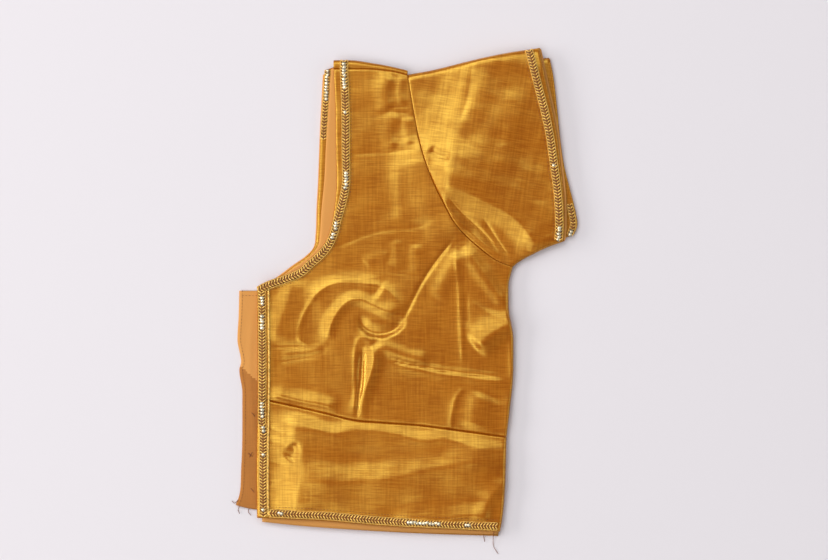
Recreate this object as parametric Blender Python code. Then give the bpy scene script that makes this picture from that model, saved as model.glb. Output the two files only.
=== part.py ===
"""Choli blouse in gold silk tissue, folded in half at the centre back and laid flat, front side up.

The left front lies on top: a bodice part, a waistband and a sleeve, each a wall of lined cloth.
Under it the backs and the right front share one solid with layered edges. Units are metres,
+Z is up, and the origin is on the surface below the middle of the folded blouse.
"""
from collections import namedtuple

import bpy
import bmesh
import numpy as np

MM = 0.001

# Driving sizes, in millimetres.
CLOTH = 1.3           # wall of silk with its cotton lining
SEAM_GAP = 0.4        # clear space between two pieces that meet
REST_GAP = 0.5        # clear space between the top cloth and the layers below it
STACK = 6.4           # height of the hidden layers
SHELF = 2.4           # height of the lowest layer, which reaches furthest out
BACK_LAYER = 1.2      # wall of each back where it shows at the neckline
RIGHT_BACK_Z = 2.8    # underside of the right back at the neckline
LEFT_BACK_Z = 4.4     # underside of the left back at the neckline
FAR_SLEEVE_TOP = 3.3  # height of the far sleeve's two layers
BRAID_WIDTH = 6.5
BRAID_HEIGHT = 1.1
BRAID_LIFT = 0.3      # clear space between a trim and the cloth it is sewn on
PIPING_WIDTH = 2.2
UNDERLAP_HEIGHT = 1.6
SIDE_INSET = 1.6      # hidden layers stay this far inside the top cloth at the side seam
SIDE_DROP = 1.3       # the pressed side seam is this much thinner than the middle
SIDE_DROP_X = (52.0, 88.0)
ROOM_AT_ARMHOLE = 1.2  # the layers below keep this far from the armhole seam
ROOM_AT_HEM = 1.2     # the backs' hem keeps this far from the hidden layers
EDGE_INSET = 0.8      # the layers below keep this far inside the top cloth at their edges
UNDER_HALF_SHOWS = 2.0  # the sleeve's under half reaches this far past the upper half at the mouth
BACK_HEM_TOP = 5.8    # height of the backs' hem past the front's
HEM_STRIP = 1.2       # strip of silk between the hem and its braid
CORNER_GAP = 1.0      # clear space between the front edge's braid and the neck's

# Numbers of rows and columns in the cloth walls.
WAIST_TO_CORNER_ROWS = 9
CORNER_TO_ARMPIT_ROWS = 2
ARMHOLE_ROWS = 16
BODICE_COLUMNS = 20
WAISTBAND_ROWS = 7
SLEEVE_COLUMNS = 11
CORE_COLUMNS = 11
CORE_ROWS = 9
UNDERLAP_ROWS = 14
ARMPIT_ROW_Y = 18.4   # height of the neckline's row that meets the armpit
INNER_ROW_Y = 10.0    # the same row on the hidden layers' neckline
LOWEST_ROW_Y = 13.2   # the same row on the lowest layer's neckline
BACK_BRAID_ROWS = 7
BACK_BRAID_REACH = (128.0, 181.0)

# Edges of the hidden layers. The lowest edge has a row for each step down it: height as a part of that
# layer's, and how far the edge bulges out.
EDGE_BULGE = 0.5
BACKS_PARTING = 0.69  # height of the groove between the two backs, as a part of the stack's
LOWEST_EDGE = ((0.8, 0.5), (0.5, 0.5), (0.42, 0.0), (0.3, 0.5), (0.1, 0.4), (0.0, 0.0))
UNDER_HALF_EDGE = ((0.25, 0.4), (0.75, 0.4), (1.0, 0.0))

# Edges, in millimetres. Each is a short table of points from its lower or left end.
Point = namedtuple("Point", "x y")


def edge(*rows):
    """An edge as a table with the columns x and y."""
    return [Point(*row) for row in rows]


FRONT_EDGE = edge((-122.0, -184.0), (-122.5, -150.0), (-122.0, -108.0), (-121.5, -60.0), (-122.0, 5.0))
NECKLINE = edge((-122.0, 5.0), (-114.5, 9.0), (-100.0, 14.3), (-89.8, 18.4), (-80.2, 26.6), (-72.3, 33.5),
                (-67.0, 40.0), (-62.5, 50.0), (-60.4, 59.0), (-58.0, 75.0), (-57.0, 90.0), (-57.5, 117.0),
                (-58.0, 150.0), (-59.5, 183.0))
SIDE_SEAM = edge((76.5, -195.5), (79.0, -180.0), (81.0, -150.0), (82.0, -118.0), (84.0, -100.0),
                 (87.0, -72.0), (87.5, -40.0), (83.5, -10.0), (83.5, 5.0), (87.0, 21.0))
ARMHOLE = edge((87.0, 21.0), (76.5, 25.0), (57.5, 38.5), (41.5, 54.0), (29.5, 74.5), (19.0, 97.0),
               (12.0, 118.5), (6.0, 147.0), (3.0, 165.0), (1.0, 178.0))
HEM = edge((-122.0, -184.0), (-66.0, -186.5), (-19.0, -190.6), (28.0, -193.0), (76.5, -195.5))
WAIST_SEAM = edge((-122.0, -86.0), (-90.0, -93.0), (-66.0, -98.5), (-43.0, -104.0), (-19.5, -106.0),
                  (12.0, -108.5), (43.5, -112.5), (82.0, -118.0))
SHOULDER_SEAM = edge((-59.5, 183.0), (-48.0, 183.0), (-24.5, 182.5), (-9.0, 180.5), (1.0, 178.0))
SHOULDER_FOLD = edge((-59.5, 190.0), (-48.0, 190.0), (-24.5, 187.0), (-9.0, 184.0), (1.0, 181.5))
UNDERARM = edge((87.0, 21.0), (93.0, 26.0), (101.5, 30.5), (113.5, 36.5), (128.0, 42.0))
SLEEVE_MOUTH = edge((128.0, 42.0), (129.0, 55.5), (128.5, 80.0), (126.0, 104.5), (123.0, 129.0),
                    (119.5, 148.0), (115.0, 168.0), (108.0, 200.0))
SLEEVE_TOP = edge((1.0, 178.0), (22.5, 182.0), (50.5, 189.0), (77.5, 195.0), (108.0, 200.0))
FAR_MOUTH = edge((137.0, 46.5), (140.0, 56.0), (138.5, 66.0), (134.0, 84.0), (129.0, 104.5),
                 (126.0, 125.0), (123.5, 149.5), (120.0, 178.5), (117.0, 193.0))
FAR_UNDERARM = edge((87.0, 21.0), (96.0, 26.5), (110.0, 34.5), (124.0, 41.5), (137.0, 46.5))
FAR_TOP = edge((1.0, 178.0), (30.0, 181.0), (60.0, 187.0), (90.0, 191.5), (117.0, 193.0))
INNER_FRONT = edge((-118.0, -181.0), (-118.0, 1.0))
INNER_NECK = edge((-118.0, 1.0), (-100.0, 5.5), (-87.0, 9.5), (-76.0, 17.5), (-66.0, 26.0), (-58.0, 36.0),
                  (-53.0, 47.0), (-51.5, 59.0), (-49.0, 75.0), (-48.0, 90.0), (-49.0, 150.0), (-50.0, 187.0))
INNER_HEM = edge((-118.0, -181.0), (-82.5, -183.0), (-35.0, -187.0), (12.0, -189.5), (74.0, -192.0))
INNER_SHOULDER = edge((-50.0, 187.0), (-24.5, 184.5), (-9.0, 181.5), (0.0, 179.0))
LOWEST_FRONT = edge((-118.0, -187.5), (-118.0, 4.0))
LOWEST_NECK = edge((-118.0, 4.0), (-112.0, 9.0), (-105.5, 13.2), (-93.0, 22.6), (-83.0, 29.5), (-76.5, 36.5),
                   (-74.5, 48.0), (-73.8, 67.7), (-72.6, 89.0), (-70.9, 133.0), (-68.5, 178.5))
LOWEST_HEM = edge((-118.0, -187.5), (-82.5, -191.5), (-35.0, -195.0), (12.0, -197.5), (71.0, -200.0))
RIGHT_BACK_EDGE = edge((-104.0, 13.0), (-92.0, 22.0), (-82.2, 29.0), (-75.6, 36.8), (-73.6, 48.0),
                       (-72.9, 67.7), (-71.7, 89.0), (-70.0, 133.0), (-67.0, 182.0))
LEFT_BACK_EDGE = edge((-102.5, 13.0), (-90.5, 21.5), (-80.0, 29.0), (-72.5, 38.0), (-71.0, 46.3),
                      (-69.5, 67.5), (-67.2, 92.0), (-65.8, 120.0), (-63.8, 149.6), (-61.5, 183.0))
UNDERLAP_EDGE = edge((-140.0, -174.0), (-137.0, -166.0), (-135.5, -145.0), (-134.5, -113.0), (-134.5, -82.0),
                     (-137.0, -63.0), (-135.5, -57.0), (-138.5, -38.0), (-137.5, -19.0), (-137.0, 1.5))
FLAT_EDGE = edge((0.0, 0.0), (1.0, 0.0))
UNDERLAP_FOOT = edge((-140.0, -174.0), (-131.0, -176.5), (-119.3, -178.4))

# Strip of silk between an edge and its braid, as a table of height on the blouse and width.
Strip = namedtuple("Strip", "y width")
NECK_STRIP = (Strip(-200.0, 1.0), Strip(5.0, 0.6), Strip(60.0, 0.8), Strip(75.0, 3.0), Strip(90.0, 4.9),
              Strip(200.0, 5.6))
BACK_STRIP = (Strip(0.0, 0.8), Strip(200.0, 0.8))
MOUTH_STRIP = (Strip(40.0, 1.0), Strip(90.0, 2.2), Strip(150.0, 3.6), Strip(200.0, 5.4))

# Broad swells of the cloth over the layers below it, in millimetres.
Swell = namedtuple("Swell", "x y reach_x reach_y height")
SWELLS = (
    Swell(-28.0, -30.0, 72.0, 58.0, 2.6),    # bust
    Swell(48.0, -30.0, 42.0, 60.0, 0.9),     # side of the bust
    Swell(-20.0, -150.0, 95.0, 36.0, 0.8),   # waistband
    Swell(-25.0, 120.0, 42.0, 55.0, 0.7),    # front of the shoulder
    Swell(62.0, 70.0, 50.0, 42.0, 2.2),      # underarm part of the sleeve
    Swell(48.0, 140.0, 60.0, 60.0, 1.2),     # sleeve cap
)

# Largest folds of the top cloth, in millimetres. A ridge has a positive height and a trough a negative one.
Fold = namedtuple("Fold", "height half_width path")
BODICE_FOLDS = (
    Fold(3.2, 9.0, ((-86, -40), (-84, -25), (-77, -12), (-65, -2), (-47, 5), (-27, 6), (-12, 1), (-4, -12))),
    Fold(2.2, 7.0, ((-63, -42), (-60, -28), (-54, -14), (-40, -8), (-22, -12), (-6, -22))),
    Fold(-1.8, 8.0, ((-75, -40), (-70, -20), (-56, -7), (-32, -1), (-14, -9))),
    Fold(-2.4, 8.0, ((-36, -26), (-22, -34), (-6, -28))),
    Fold(2.4, 7.0, ((-29, -39), (-25, -54), (-34, -74), (-41, -103))),
    Fold(-2.2, 6.0, ((-38, -42), (-42, -72), (-44, -104))),
    Fold(1.8, 8.0, ((-15, -52), (15, -62), (42, -68), (82, -73))),
    Fold(-1.4, 6.0, ((-18, -46), (8, -54), (40, -59), (82, -64))),
    Fold(2.0, 9.0, ((42, 34), (44, -10), (46, -58))),
    Fold(1.6, 8.0, ((34, 48), (20, 20), (6, 0), (-2, -16))),
    Fold(1.4, 9.0, ((-58, 36), (-26, 49), (12, 55), (28, 63))),
    Fold(1.1, 8.0, ((-46, 114), (-16, 116), (8, 118))),
    Fold(1.4, 8.0, ((-112, -44), (-90, -43), (-66, -42))),
)
WAISTBAND_FOLDS = (
    Fold(1.5, 9.0, ((-84, -152), (-30, -144), (22, -138), (70, -134))),
    Fold(1.3, 8.0, ((10, -166), (44, -168), (72, -172))),
    Fold(1.2, 8.0, ((-98, -124), (-97, -150), (-99, -172))),
    Fold(1.3, 7.0, ((-104, -108), (-70, -114), (-40, -116))),
)
SLEEVE_FOLDS = (
    Fold(2.4, 10.0, ((36, 72), (60, 56), (96, 44), (112, 41))),
    Fold(1.6, 10.0, ((20, 170), (22, 140), (28, 112), (40, 84))),
    Fold(1.2, 9.0, ((54, 186), (58, 160), (64, 136))),
    Fold(-1.2, 8.0, ((48, 76), (74, 66), (104, 62))),
)


def eased(rows, along, across, value):
    """Monotone cubic reading of a table: the column across, where the column along has the value."""
    keys = np.array([getattr(row, along) for row in rows], float)
    values = np.array([getattr(row, across) for row in rows], float)
    spans = np.diff(keys)
    slopes = np.diff(values) / spans
    tangents = np.concatenate(([slopes[0]], (slopes[1:] + slopes[:-1]) / 2.0, [slopes[-1]]))
    turning = np.concatenate(([False], slopes[1:] * slopes[:-1] <= 0.0, [False]))
    tangents[turning] = 0.0
    index = int(np.clip(np.searchsorted(keys, value) - 1, 0, len(spans) - 1))
    part = float(np.clip((value - keys[index]) / spans[index], 0.0, 1.0))
    start, end = values[index], values[index + 1]
    pull, push = tangents[index] * spans[index], tangents[index + 1] * spans[index]
    square, cube = part * part, part * part * part
    return ((2 * cube - 3 * square + 1) * start + (cube - 2 * square + part) * pull
            + (3 * square - 2 * cube) * end + (cube - square) * push)


def upright(rows, count, grade=1.0, low=None, high=None):
    """Points up an edge that rises steadily, closer together at its foot where grade is over 1."""
    low = rows[0].y if low is None else low
    high = rows[-1].y if high is None else high
    heights = low + (high - low) * np.linspace(0.0, 1.0, count + 1) ** grade
    return [np.array((eased(rows, "y", "x", height), height)) for height in heights]


def level(rows, part):
    """Point along an edge that runs from left to right, at a part of its width."""
    x = rows[0].x + (rows[-1].x - rows[0].x) * part
    return np.array((x, eased(rows, "x", "y", x)))


def bow(rows, part):
    """How far an edge bows away from the straight line between its ends."""
    ends = np.array(rows[0]), np.array(rows[-1])
    return level(rows, part) - (ends[0] * (1.0 - part) + ends[1] * part)


def moved_out(points, distance):
    """The points moved sideways, to the right of their direction of travel."""
    line = np.array(points)
    travel = np.gradient(line, axis=0)
    travel /= np.linalg.norm(travel, axis=1)[:, None]
    return list(line + distance * np.stack((travel[:, 1], -travel[:, 0]), axis=1))


def slants(side, across):
    """Sine of the angle between an edge and each row of a patch."""
    travel = np.gradient(np.array(side), axis=0)
    travel /= np.linalg.norm(travel, axis=1)[:, None]
    rows = across / np.linalg.norm(across, axis=1)[:, None]
    return np.clip(np.abs(travel[:, 0] * rows[:, 1] - travel[:, 1] * rows[:, 0]), 0.45, 1.0)


def even_columns(left, count):
    """Column places that divide every row evenly."""
    return np.tile(np.linspace(0.0, 1.0, count + 1), (len(left), 1))


def trimmed_columns(left, right, count, strips, from_right=False):
    """Column places with a strip and a braid at one side, each of a set width, and even columns after."""
    left, right = np.array(left), np.array(right)
    across = right - left
    widths = np.linalg.norm(across, axis=1)
    side = right if from_right else left
    angles = slants(side, across)
    places = []
    for point, width, sine in zip(side, widths, angles):
        strip = eased(strips, "y", "width", point[1])
        first = strip / sine / width
        second = (strip + BRAID_WIDTH) / sine / width
        row = np.concatenate(([0.0, first, second], np.linspace(second, 1.0, count - 1)[1:]))
        places.append(1.0 - row[::-1] if from_right else row)
    return np.array(places)


def patch(left, right, bottom, top, places):
    """Grid of plan points between two lists of points, bowed at its foot and head as those edges are."""
    left, right = np.array(left), np.array(right)
    heights = left[:, 1] + right[:, 1]
    climbs = (heights - heights[0]) / (heights[-1] - heights[0])
    grid = []
    for start, end, climb, row in zip(left, right, climbs, places):
        bows = [bow(bottom, part) * (1.0 - climb) + bow(top, part) * climb for part in row]
        grid.append([start * (1.0 - part) + end * part + bend for part, bend in zip(row, bows)])
    return np.array(grid)


def stack_height(x, y):
    """Height of the hidden layers, thinner towards the pressed side seam."""
    part = np.clip((x - SIDE_DROP_X[0]) / (SIDE_DROP_X[1] - SIDE_DROP_X[0]), 0.0, 1.0)
    return STACK - SIDE_DROP * part * part * (3.0 - 2.0 * part)


def swell_height(x, y):
    """Height that the broad swells add at a point."""
    total = 0.0
    for swell in SWELLS:
        reach = ((x - swell.x) / swell.reach_x) ** 2 + ((y - swell.y) / swell.reach_y) ** 2
        total += swell.height * max(0.0, 1.0 - reach) ** 2
    return total


def fold_height(x, y, folds):
    """Height that the folds add at a point. A fold tapers towards both ends of its path."""
    total = 0.0
    spot = np.array((x, y), float)
    for fold in folds:
        line = np.array(fold.path, float)
        steps = np.diff(line, axis=0)
        lengths = np.linalg.norm(steps, axis=1)
        travelled = np.concatenate(([0.0], np.cumsum(lengths)))
        parts = np.clip(np.einsum("ij,ij->i", spot - line[:-1], steps) / lengths ** 2, 0.0, 1.0)
        feet = line[:-1] + steps * parts[:, None]
        distances = np.linalg.norm(spot - feet, axis=1)
        nearest = int(np.argmin(distances))
        way = (travelled[nearest] + lengths[nearest] * parts[nearest]) / travelled[-1]
        taper = np.clip(5.0 * min(way, 1.0 - way) + 0.25, 0.0, 1.0)
        total += fold.height * taper * np.exp(-(distances[nearest] / fold.half_width) ** 2)
    return total


def layers_top(x, y):
    """Top of the hidden layers, which fill most of each swell."""
    return stack_height(x, y) + 0.8 * swell_height(x, y)


def cloth_top(x, y, folds):
    """Top of a wall of cloth that lies on the hidden layers."""
    lift = max(fold_height(x, y, folds), -0.15)
    return stack_height(x, y) + REST_GAP + CLOTH + swell_height(x, y) + lift


def draped(grid, folds):
    """Grid of plan points with the height of the cloth added."""
    return np.array([[(x, y, cloth_top(x, y, folds)) for x, y in row] for row in grid])


def flat_at(grid, height):
    """Grid of plan points, all at one height."""
    return np.array([[(x, y, height) for x, y in row] for row in grid])


def boundary(rows, columns):
    """Grid indices round the rim of a grid, anticlockwise from above."""
    rim = [(0, column) for column in range(columns)]
    rim += [(row, columns - 1) for row in range(1, rows)]
    rim += [(rows - 1, column) for column in range(columns - 2, -1, -1)]
    rim += [(row, 0) for row in range(rows - 2, 0, -1)]
    return rim


def srgb(code):
    """Linear colour from an sRGB hex code."""
    channels = [int(code[place:place + 2], 16) / 255.0 for place in (0, 2, 4)]
    linear = [c / 12.92 if c <= 0.04045 else ((c + 0.055) / 1.055) ** 2.4 for c in channels]
    return (*linear, 1.0)


Finish = namedtuple("Finish", "color roughness metallic")
GOLD_SILK = Finish("BC7F27", 0.38, 0.6)
COTTON_LINING = Finish("D8964A", 0.85, 0.0)
ZARI_BRAID = Finish("A9762C", 0.35, 0.8)


def finish_material(node, finish):
    """Material of one piece, from its finish."""
    material = bpy.data.materials.new(node.name)
    material.use_nodes = True
    shader = material.node_tree.nodes["Principled BSDF"]
    shader.inputs["Base Color"].default_value = srgb(finish.color)
    shader.inputs["Roughness"].default_value = finish.roughness
    shader.inputs["Metallic"].default_value = finish.metallic
    node.data.materials.append(material)


def finish_piece(name, mesh_maker, finish):
    """Object from a bmesh, in the blouse's collection."""
    mesh = bpy.data.meshes.new(name)
    mesh_maker.to_mesh(mesh)
    mesh_maker.free()
    node = bpy.data.objects.new(name, mesh)
    blouse.objects.link(node)
    finish_material(node, finish)
    return node


def grid_faces(maker, grid, upward):
    """Vertices and faces of one side of a sheet."""
    rows, columns = grid.shape[:2]
    points = [[maker.verts.new(grid[row, column] * MM) for column in range(columns)] for row in range(rows)]
    for row in range(rows - 1):
        for column in range(columns - 1):
            corners = [points[row][column], points[row][column + 1],
                       points[row + 1][column + 1], points[row + 1][column]]
            maker.faces.new(corners if upward else corners[::-1])
    return points


def cloth_wall(name, top, thickness, finish):
    """Closed wall with the grid as its upper side and the same grid, lower, as its underside."""
    maker = bmesh.new()
    upper = grid_faces(maker, top, True)
    lower = grid_faces(maker, top - np.array((0.0, 0.0, thickness)), False)
    rim = boundary(*top.shape[:2])
    for (row, column), (next_row, next_column) in zip(rim, rim[1:] + rim[:1]):
        maker.faces.new((upper[row][column], lower[row][column],
                         lower[next_row][next_column], upper[next_row][next_column]))
    return finish_piece(name, maker, finish)


def layered_solid(name, top, outer, profile, finish):
    """Solid of stacked layers on a flat underside.

    The rim steps down through the profile, whose rows hold the height as a part of the whole, how far
    the rim has moved to the outer outline, and how far the layer's edge bulges past that.
    """
    maker = bmesh.new()
    upper = grid_faces(maker, top, True)
    rim = boundary(*top.shape[:2])
    inner_line = np.array([top[row, column, :2] for row, column in rim])
    outer_line = np.array([outer[row, column] for row, column in rim])
    heights = np.array([top[row, column, 2] for row, column in rim])
    travel = np.roll(inner_line, -1, axis=0) - np.roll(inner_line, 1, axis=0)
    travel /= np.linalg.norm(travel, axis=1)[:, None]
    outward = np.stack((travel[:, 1], -travel[:, 0]), axis=1)
    above = [upper[row][column] for row, column in rim]
    for height, spread, bulge in profile:
        plan = inner_line + spread * (outer_line - inner_line) + bulge * outward
        ring = [maker.verts.new((x * MM, y * MM, full * height * MM)) for (x, y), full in zip(plan, heights)]
        for place in range(len(ring)):
            after = (place + 1) % len(ring)
            maker.faces.new((above[place], ring[place], ring[after], above[after]))
        above = ring
    maker.faces.new(above[::-1])
    return finish_piece(name, maker, finish)


def layer_profile(steps, edge_bulge):
    """Profile of a rim of equal layers, from the top down, with a groove between layers.

    Each step holds the part of the height where the layer ends, and the layer's spread.
    """
    rows = []
    top = 1.0
    for bottom, spread in steps:
        depth = top - bottom
        rows.append((top - 0.18 * depth, spread, edge_bulge))
        rows.append((bottom + 0.18 * depth, spread, edge_bulge))
        rows.append((bottom, spread, 0.0))
        top = bottom
    return rows


def with_hem_rows(side, strip):
    """Side of the waistband with two more rows near its foot, at the edges of the hem's braid."""
    foot, climb = side[0], side[1] - side[0]
    climb = climb / np.linalg.norm(climb)
    return [foot, foot + climb * strip, foot + climb * (strip + BRAID_WIDTH)] + side[1:]


def make_bodice(armhole):
    """Left front over the bust, from the waist seam to the shoulder seam."""
    left = (upright(FRONT_EDGE, WAIST_TO_CORNER_ROWS, low=WAIST_SEAM[0].y)
            + upright(NECKLINE, CORNER_TO_ARMPIT_ROWS, high=ARMPIT_ROW_Y)[1:]
            + upright(NECKLINE, ARMHOLE_ROWS, low=ARMPIT_ROW_Y)[1:])
    right = (upright(SIDE_SEAM, WAIST_TO_CORNER_ROWS, low=WAIST_SEAM[-1].y, high=FRONT_EDGE[-1].y)
             + upright(SIDE_SEAM, CORNER_TO_ARMPIT_ROWS, low=FRONT_EDGE[-1].y)[1:] + armhole[1:])
    places = trimmed_columns(left, right, BODICE_COLUMNS, NECK_STRIP)
    grid = draped(patch(left, right, WAIST_SEAM, SHOULDER_SEAM, places), BODICE_FOLDS)
    cloth_wall("front_bodice", grid, CLOTH, GOLD_SILK)
    return grid, places[-1]


def make_waistband():
    """Left front below the waist seam."""
    left = with_hem_rows(upright(FRONT_EDGE, WAISTBAND_ROWS, high=WAIST_SEAM[0].y - SEAM_GAP), HEM_STRIP)
    right = with_hem_rows(upright(SIDE_SEAM, WAISTBAND_ROWS, high=WAIST_SEAM[-1].y - SEAM_GAP), HEM_STRIP)
    places = trimmed_columns(left, right, BODICE_COLUMNS, NECK_STRIP)
    grid = draped(patch(left, right, HEM, WAIST_SEAM, places), WAISTBAND_FOLDS)
    cloth_wall("front_waistband", grid, CLOTH, GOLD_SILK)
    return grid


def make_shoulder(places):
    """Top of the left back, rolled over the shoulder seam."""
    rows = []
    for lift in np.linspace(0.0, 1.0, 3):
        seam = [level(SHOULDER_SEAM, part) + np.array((0.0, SEAM_GAP)) for part in places]
        fold = [level(SHOULDER_FOLD, part) for part in places]
        rows.append([a * (1.0 - lift) + b * lift for a, b in zip(seam, fold)])
    grid = draped(np.array(rows), ())
    cloth_wall("back_shoulder", grid, CLOTH, GOLD_SILK)
    return grid


def make_sleeve(armhole):
    """Near sleeve's upper half, its under half and the far sleeve below them."""
    left = moved_out(armhole, SEAM_GAP)
    right = upright(SLEEVE_MOUTH, ARMHOLE_ROWS)
    places = trimmed_columns(left, right, SLEEVE_COLUMNS, MOUTH_STRIP, from_right=True)
    grid = draped(patch(left, right, UNDERARM, SLEEVE_TOP, places), SLEEVE_FOLDS)
    cloth_wall("sleeve", grid, CLOTH, GOLD_SILK)

    inner = moved_out(armhole, ROOM_AT_ARMHOLE)
    under_mouth = moved_out(right, UNDER_HALF_SHOWS)
    under = patch(inner, under_mouth, UNDERARM, SLEEVE_TOP, even_columns(inner, SLEEVE_COLUMNS - 4))
    under[0] += np.array((0.0, EDGE_INSET))
    under[-1] -= np.array((0.0, EDGE_INSET))
    top = np.array([[(x, y, layers_top(x, y)) for x, y in row] for row in under])
    raised_solid("sleeve_underside", top, FAR_SLEEVE_TOP + REST_GAP, GOLD_SILK)

    far_mouth = upright(FAR_MOUTH, ARMHOLE_ROWS)
    far = patch(inner, far_mouth, FAR_UNDERARM, FAR_TOP, even_columns(inner, SLEEVE_COLUMNS - 5))
    far[0] += np.array((0.0, EDGE_INSET))
    far[-1] -= np.array((0.0, EDGE_INSET))
    two_layers = layer_profile(((0.5, 0.0), (0.0, 0.0)), EDGE_BULGE)
    layered_solid("far_sleeve", flat_at(far, FAR_SLEEVE_TOP), far, two_layers, GOLD_SILK)
    return grid


def raised_solid(name, top, underside, finish):
    """Layer with a draped upper side, a flat underside and a rounded rim."""
    maker = bmesh.new()
    upper = grid_faces(maker, top, True)
    rim = boundary(*top.shape[:2])
    line = np.array([top[row, column] for row, column in rim])
    travel = np.roll(line[:, :2], -1, axis=0) - np.roll(line[:, :2], 1, axis=0)
    travel /= np.linalg.norm(travel, axis=1)[:, None]
    above = [upper[row][column] for row, column in rim]
    for depth, bulge in UNDER_HALF_EDGE:
        ring = []
        for (x, y, height), (along, up) in zip(line, travel):
            z = height + (underside - height) * depth
            ring.append(maker.verts.new(((x + bulge * up) * MM, (y - bulge * along) * MM, z * MM)))
        for place in range(len(ring)):
            after = (place + 1) % len(ring)
            maker.faces.new((above[place], ring[place], ring[after], above[after]))
        above = ring
    maker.faces.new(above[::-1])
    return finish_piece(name, maker, finish)


def make_folded_layers(armhole):
    """Hidden layers of the right front and both backs, stepped out at the neckline and the hem."""
    inner_left = (upright(INNER_FRONT, CORE_ROWS)
                  + upright(INNER_NECK, CORNER_TO_ARMPIT_ROWS, high=INNER_ROW_Y)[1:]
                  + upright(INNER_NECK, ARMHOLE_ROWS, low=INNER_ROW_Y)[1:])
    lowest_left = (upright(LOWEST_FRONT, CORE_ROWS)
                   + upright(LOWEST_NECK, CORNER_TO_ARMPIT_ROWS, high=LOWEST_ROW_Y)[1:]
                   + upright(LOWEST_NECK, ARMHOLE_ROWS, low=LOWEST_ROW_Y)[1:])
    side = (upright(SIDE_SEAM, CORE_ROWS, low=INNER_HEM[-1].y, high=FRONT_EDGE[-1].y)
            + upright(SIDE_SEAM, CORNER_TO_ARMPIT_ROWS, low=FRONT_EDGE[-1].y)[1:])
    right = moved_out(side, -SIDE_INSET)[:-1] + moved_out(armhole, -ROOM_AT_ARMHOLE)
    inner = patch(inner_left, right, INNER_HEM, INNER_SHOULDER, even_columns(right, CORE_COLUMNS))
    low_right = right.copy()
    low_right[0] = np.array(LOWEST_HEM[-1])
    lowest = patch(lowest_left, low_right, LOWEST_HEM, INNER_SHOULDER, even_columns(right, CORE_COLUMNS))
    top = np.array([[(x, y, layers_top(x, y)) for x, y in row] for row in inner])
    shelf = SHELF / STACK
    profile = layer_profile(((BACKS_PARTING, 0.0), (shelf, 0.0)), EDGE_BULGE) + [(shelf * 0.98, 1.0, 0.0)]
    profile += [(height * shelf, 1.0, bulge) for height, bulge in LOWEST_EDGE]
    layered_solid("folded_layers", top, lowest, profile, COTTON_LINING)


def make_backs_at_neck():
    """Both backs where they show past the front's neckline, lying on the lowest layer."""
    for name, table, base, finish in (("right_back_neck", RIGHT_BACK_EDGE, RIGHT_BACK_Z, GOLD_SILK),
                                      ("left_back_neck", LEFT_BACK_EDGE, LEFT_BACK_Z, COTTON_LINING)):
        left = upright(table, ARMHOLE_ROWS)
        right = moved_out(upright(INNER_NECK, ARMHOLE_ROWS, low=INNER_NECK[2].y), -1.8)
        places = trimmed_columns(left, right, 4, BACK_STRIP)
        grid = flat_at(patch(left, right, FLAT_EDGE, FLAT_EDGE, places), base + BACK_LAYER)
        cloth_wall(name, grid, BACK_LAYER, finish)

    low, high = BACK_BRAID_REACH
    outside = moved_out(upright(RIGHT_BACK_EDGE, BACK_BRAID_ROWS, low=low, high=high), SEAM_GAP)
    inside = moved_out(upright(LEFT_BACK_EDGE, BACK_BRAID_ROWS, low=low, high=high), -SEAM_GAP)
    strip = np.stack((np.array(outside), np.array(inside)), axis=1)
    trim_on("back_neck_braid", flat_at(strip, RIGHT_BACK_Z + BACK_LAYER), 0)


def make_back_hem():
    """Hem of the two backs, past the hem of the front."""
    places = np.linspace(0.0, 1.0, BODICE_COLUMNS + 1)
    foot = [level(LOWEST_HEM, part) + np.array((0.0, EDGE_INSET)) for part in places]
    head = [level(INNER_HEM, part) - np.array((0.0, ROOM_AT_HEM)) for part in places]
    rows = np.array([foot, [(a + b) / 2 for a, b in zip(foot, head)], head])
    cloth_wall("back_hem", flat_at(rows, BACK_HEM_TOP), BACK_HEM_TOP - RIGHT_BACK_Z, COTTON_LINING)


def make_underlap():
    """Right front's underlap for the hooks, flat on the surface beside the front edge."""
    left = upright(UNDERLAP_EDGE, UNDERLAP_ROWS)
    right = [np.array((UNDERLAP_FOOT[-1].x, y)) for y in
             np.linspace(UNDERLAP_FOOT[-1].y, UNDERLAP_EDGE[-1].y, UNDERLAP_ROWS + 1)]
    grid = patch(left, right, UNDERLAP_FOOT, FLAT_EDGE, even_columns(left, 3))
    cloth_wall("underlap", flat_at(grid, UNDERLAP_HEIGHT), UNDERLAP_HEIGHT, COTTON_LINING)


def trim_on(name, grid, column):
    """Braid on the cloth between a column of its grid and the next, made from the cloth's own points."""
    lifted = grid[:, column:column + 2] + np.array((0.0, 0.0, BRAID_LIFT + BRAID_HEIGHT))
    cloth_wall(name, lifted, BRAID_HEIGHT, ZARI_BRAID)


def make_trims(bodice, waistband, shoulder, sleeve):
    """Zari braids on the front edge, neckline, hem and sleeve mouth, and the piping inside the front edge."""
    corner = WAIST_TO_CORNER_ROWS
    front = np.concatenate((waistband[:, :4], bodice[:corner + 1, :4]))
    trim_on("front_edge_braid", front, 1)
    inside = front[:, 2:4].copy()
    travel = inside[:, 1] - inside[:, 0]
    reach = np.linalg.norm(travel, axis=1)[:, None]
    inside[:, 1] = inside[:, 0] + travel * (SEAM_GAP + PIPING_WIDTH) / reach
    inside[:, 0] = inside[:, 0] + travel * SEAM_GAP / reach
    trim_on("front_piping", inside, 0)

    neck = np.concatenate((bodice[corner:, :4], shoulder[:, :4]))
    neck[0] += (neck[1] - neck[0]) * CORNER_GAP / np.linalg.norm(neck[1, 1] - neck[0, 1])
    trim_on("neck_braid", neck, 1)

    hem = waistband[1:3, 3:].transpose(1, 0, 2)[::-1]
    trim_on("hem_braid", hem, 0)
    trim_on("sleeve_braid", sleeve, sleeve.shape[1] - 3)


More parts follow.
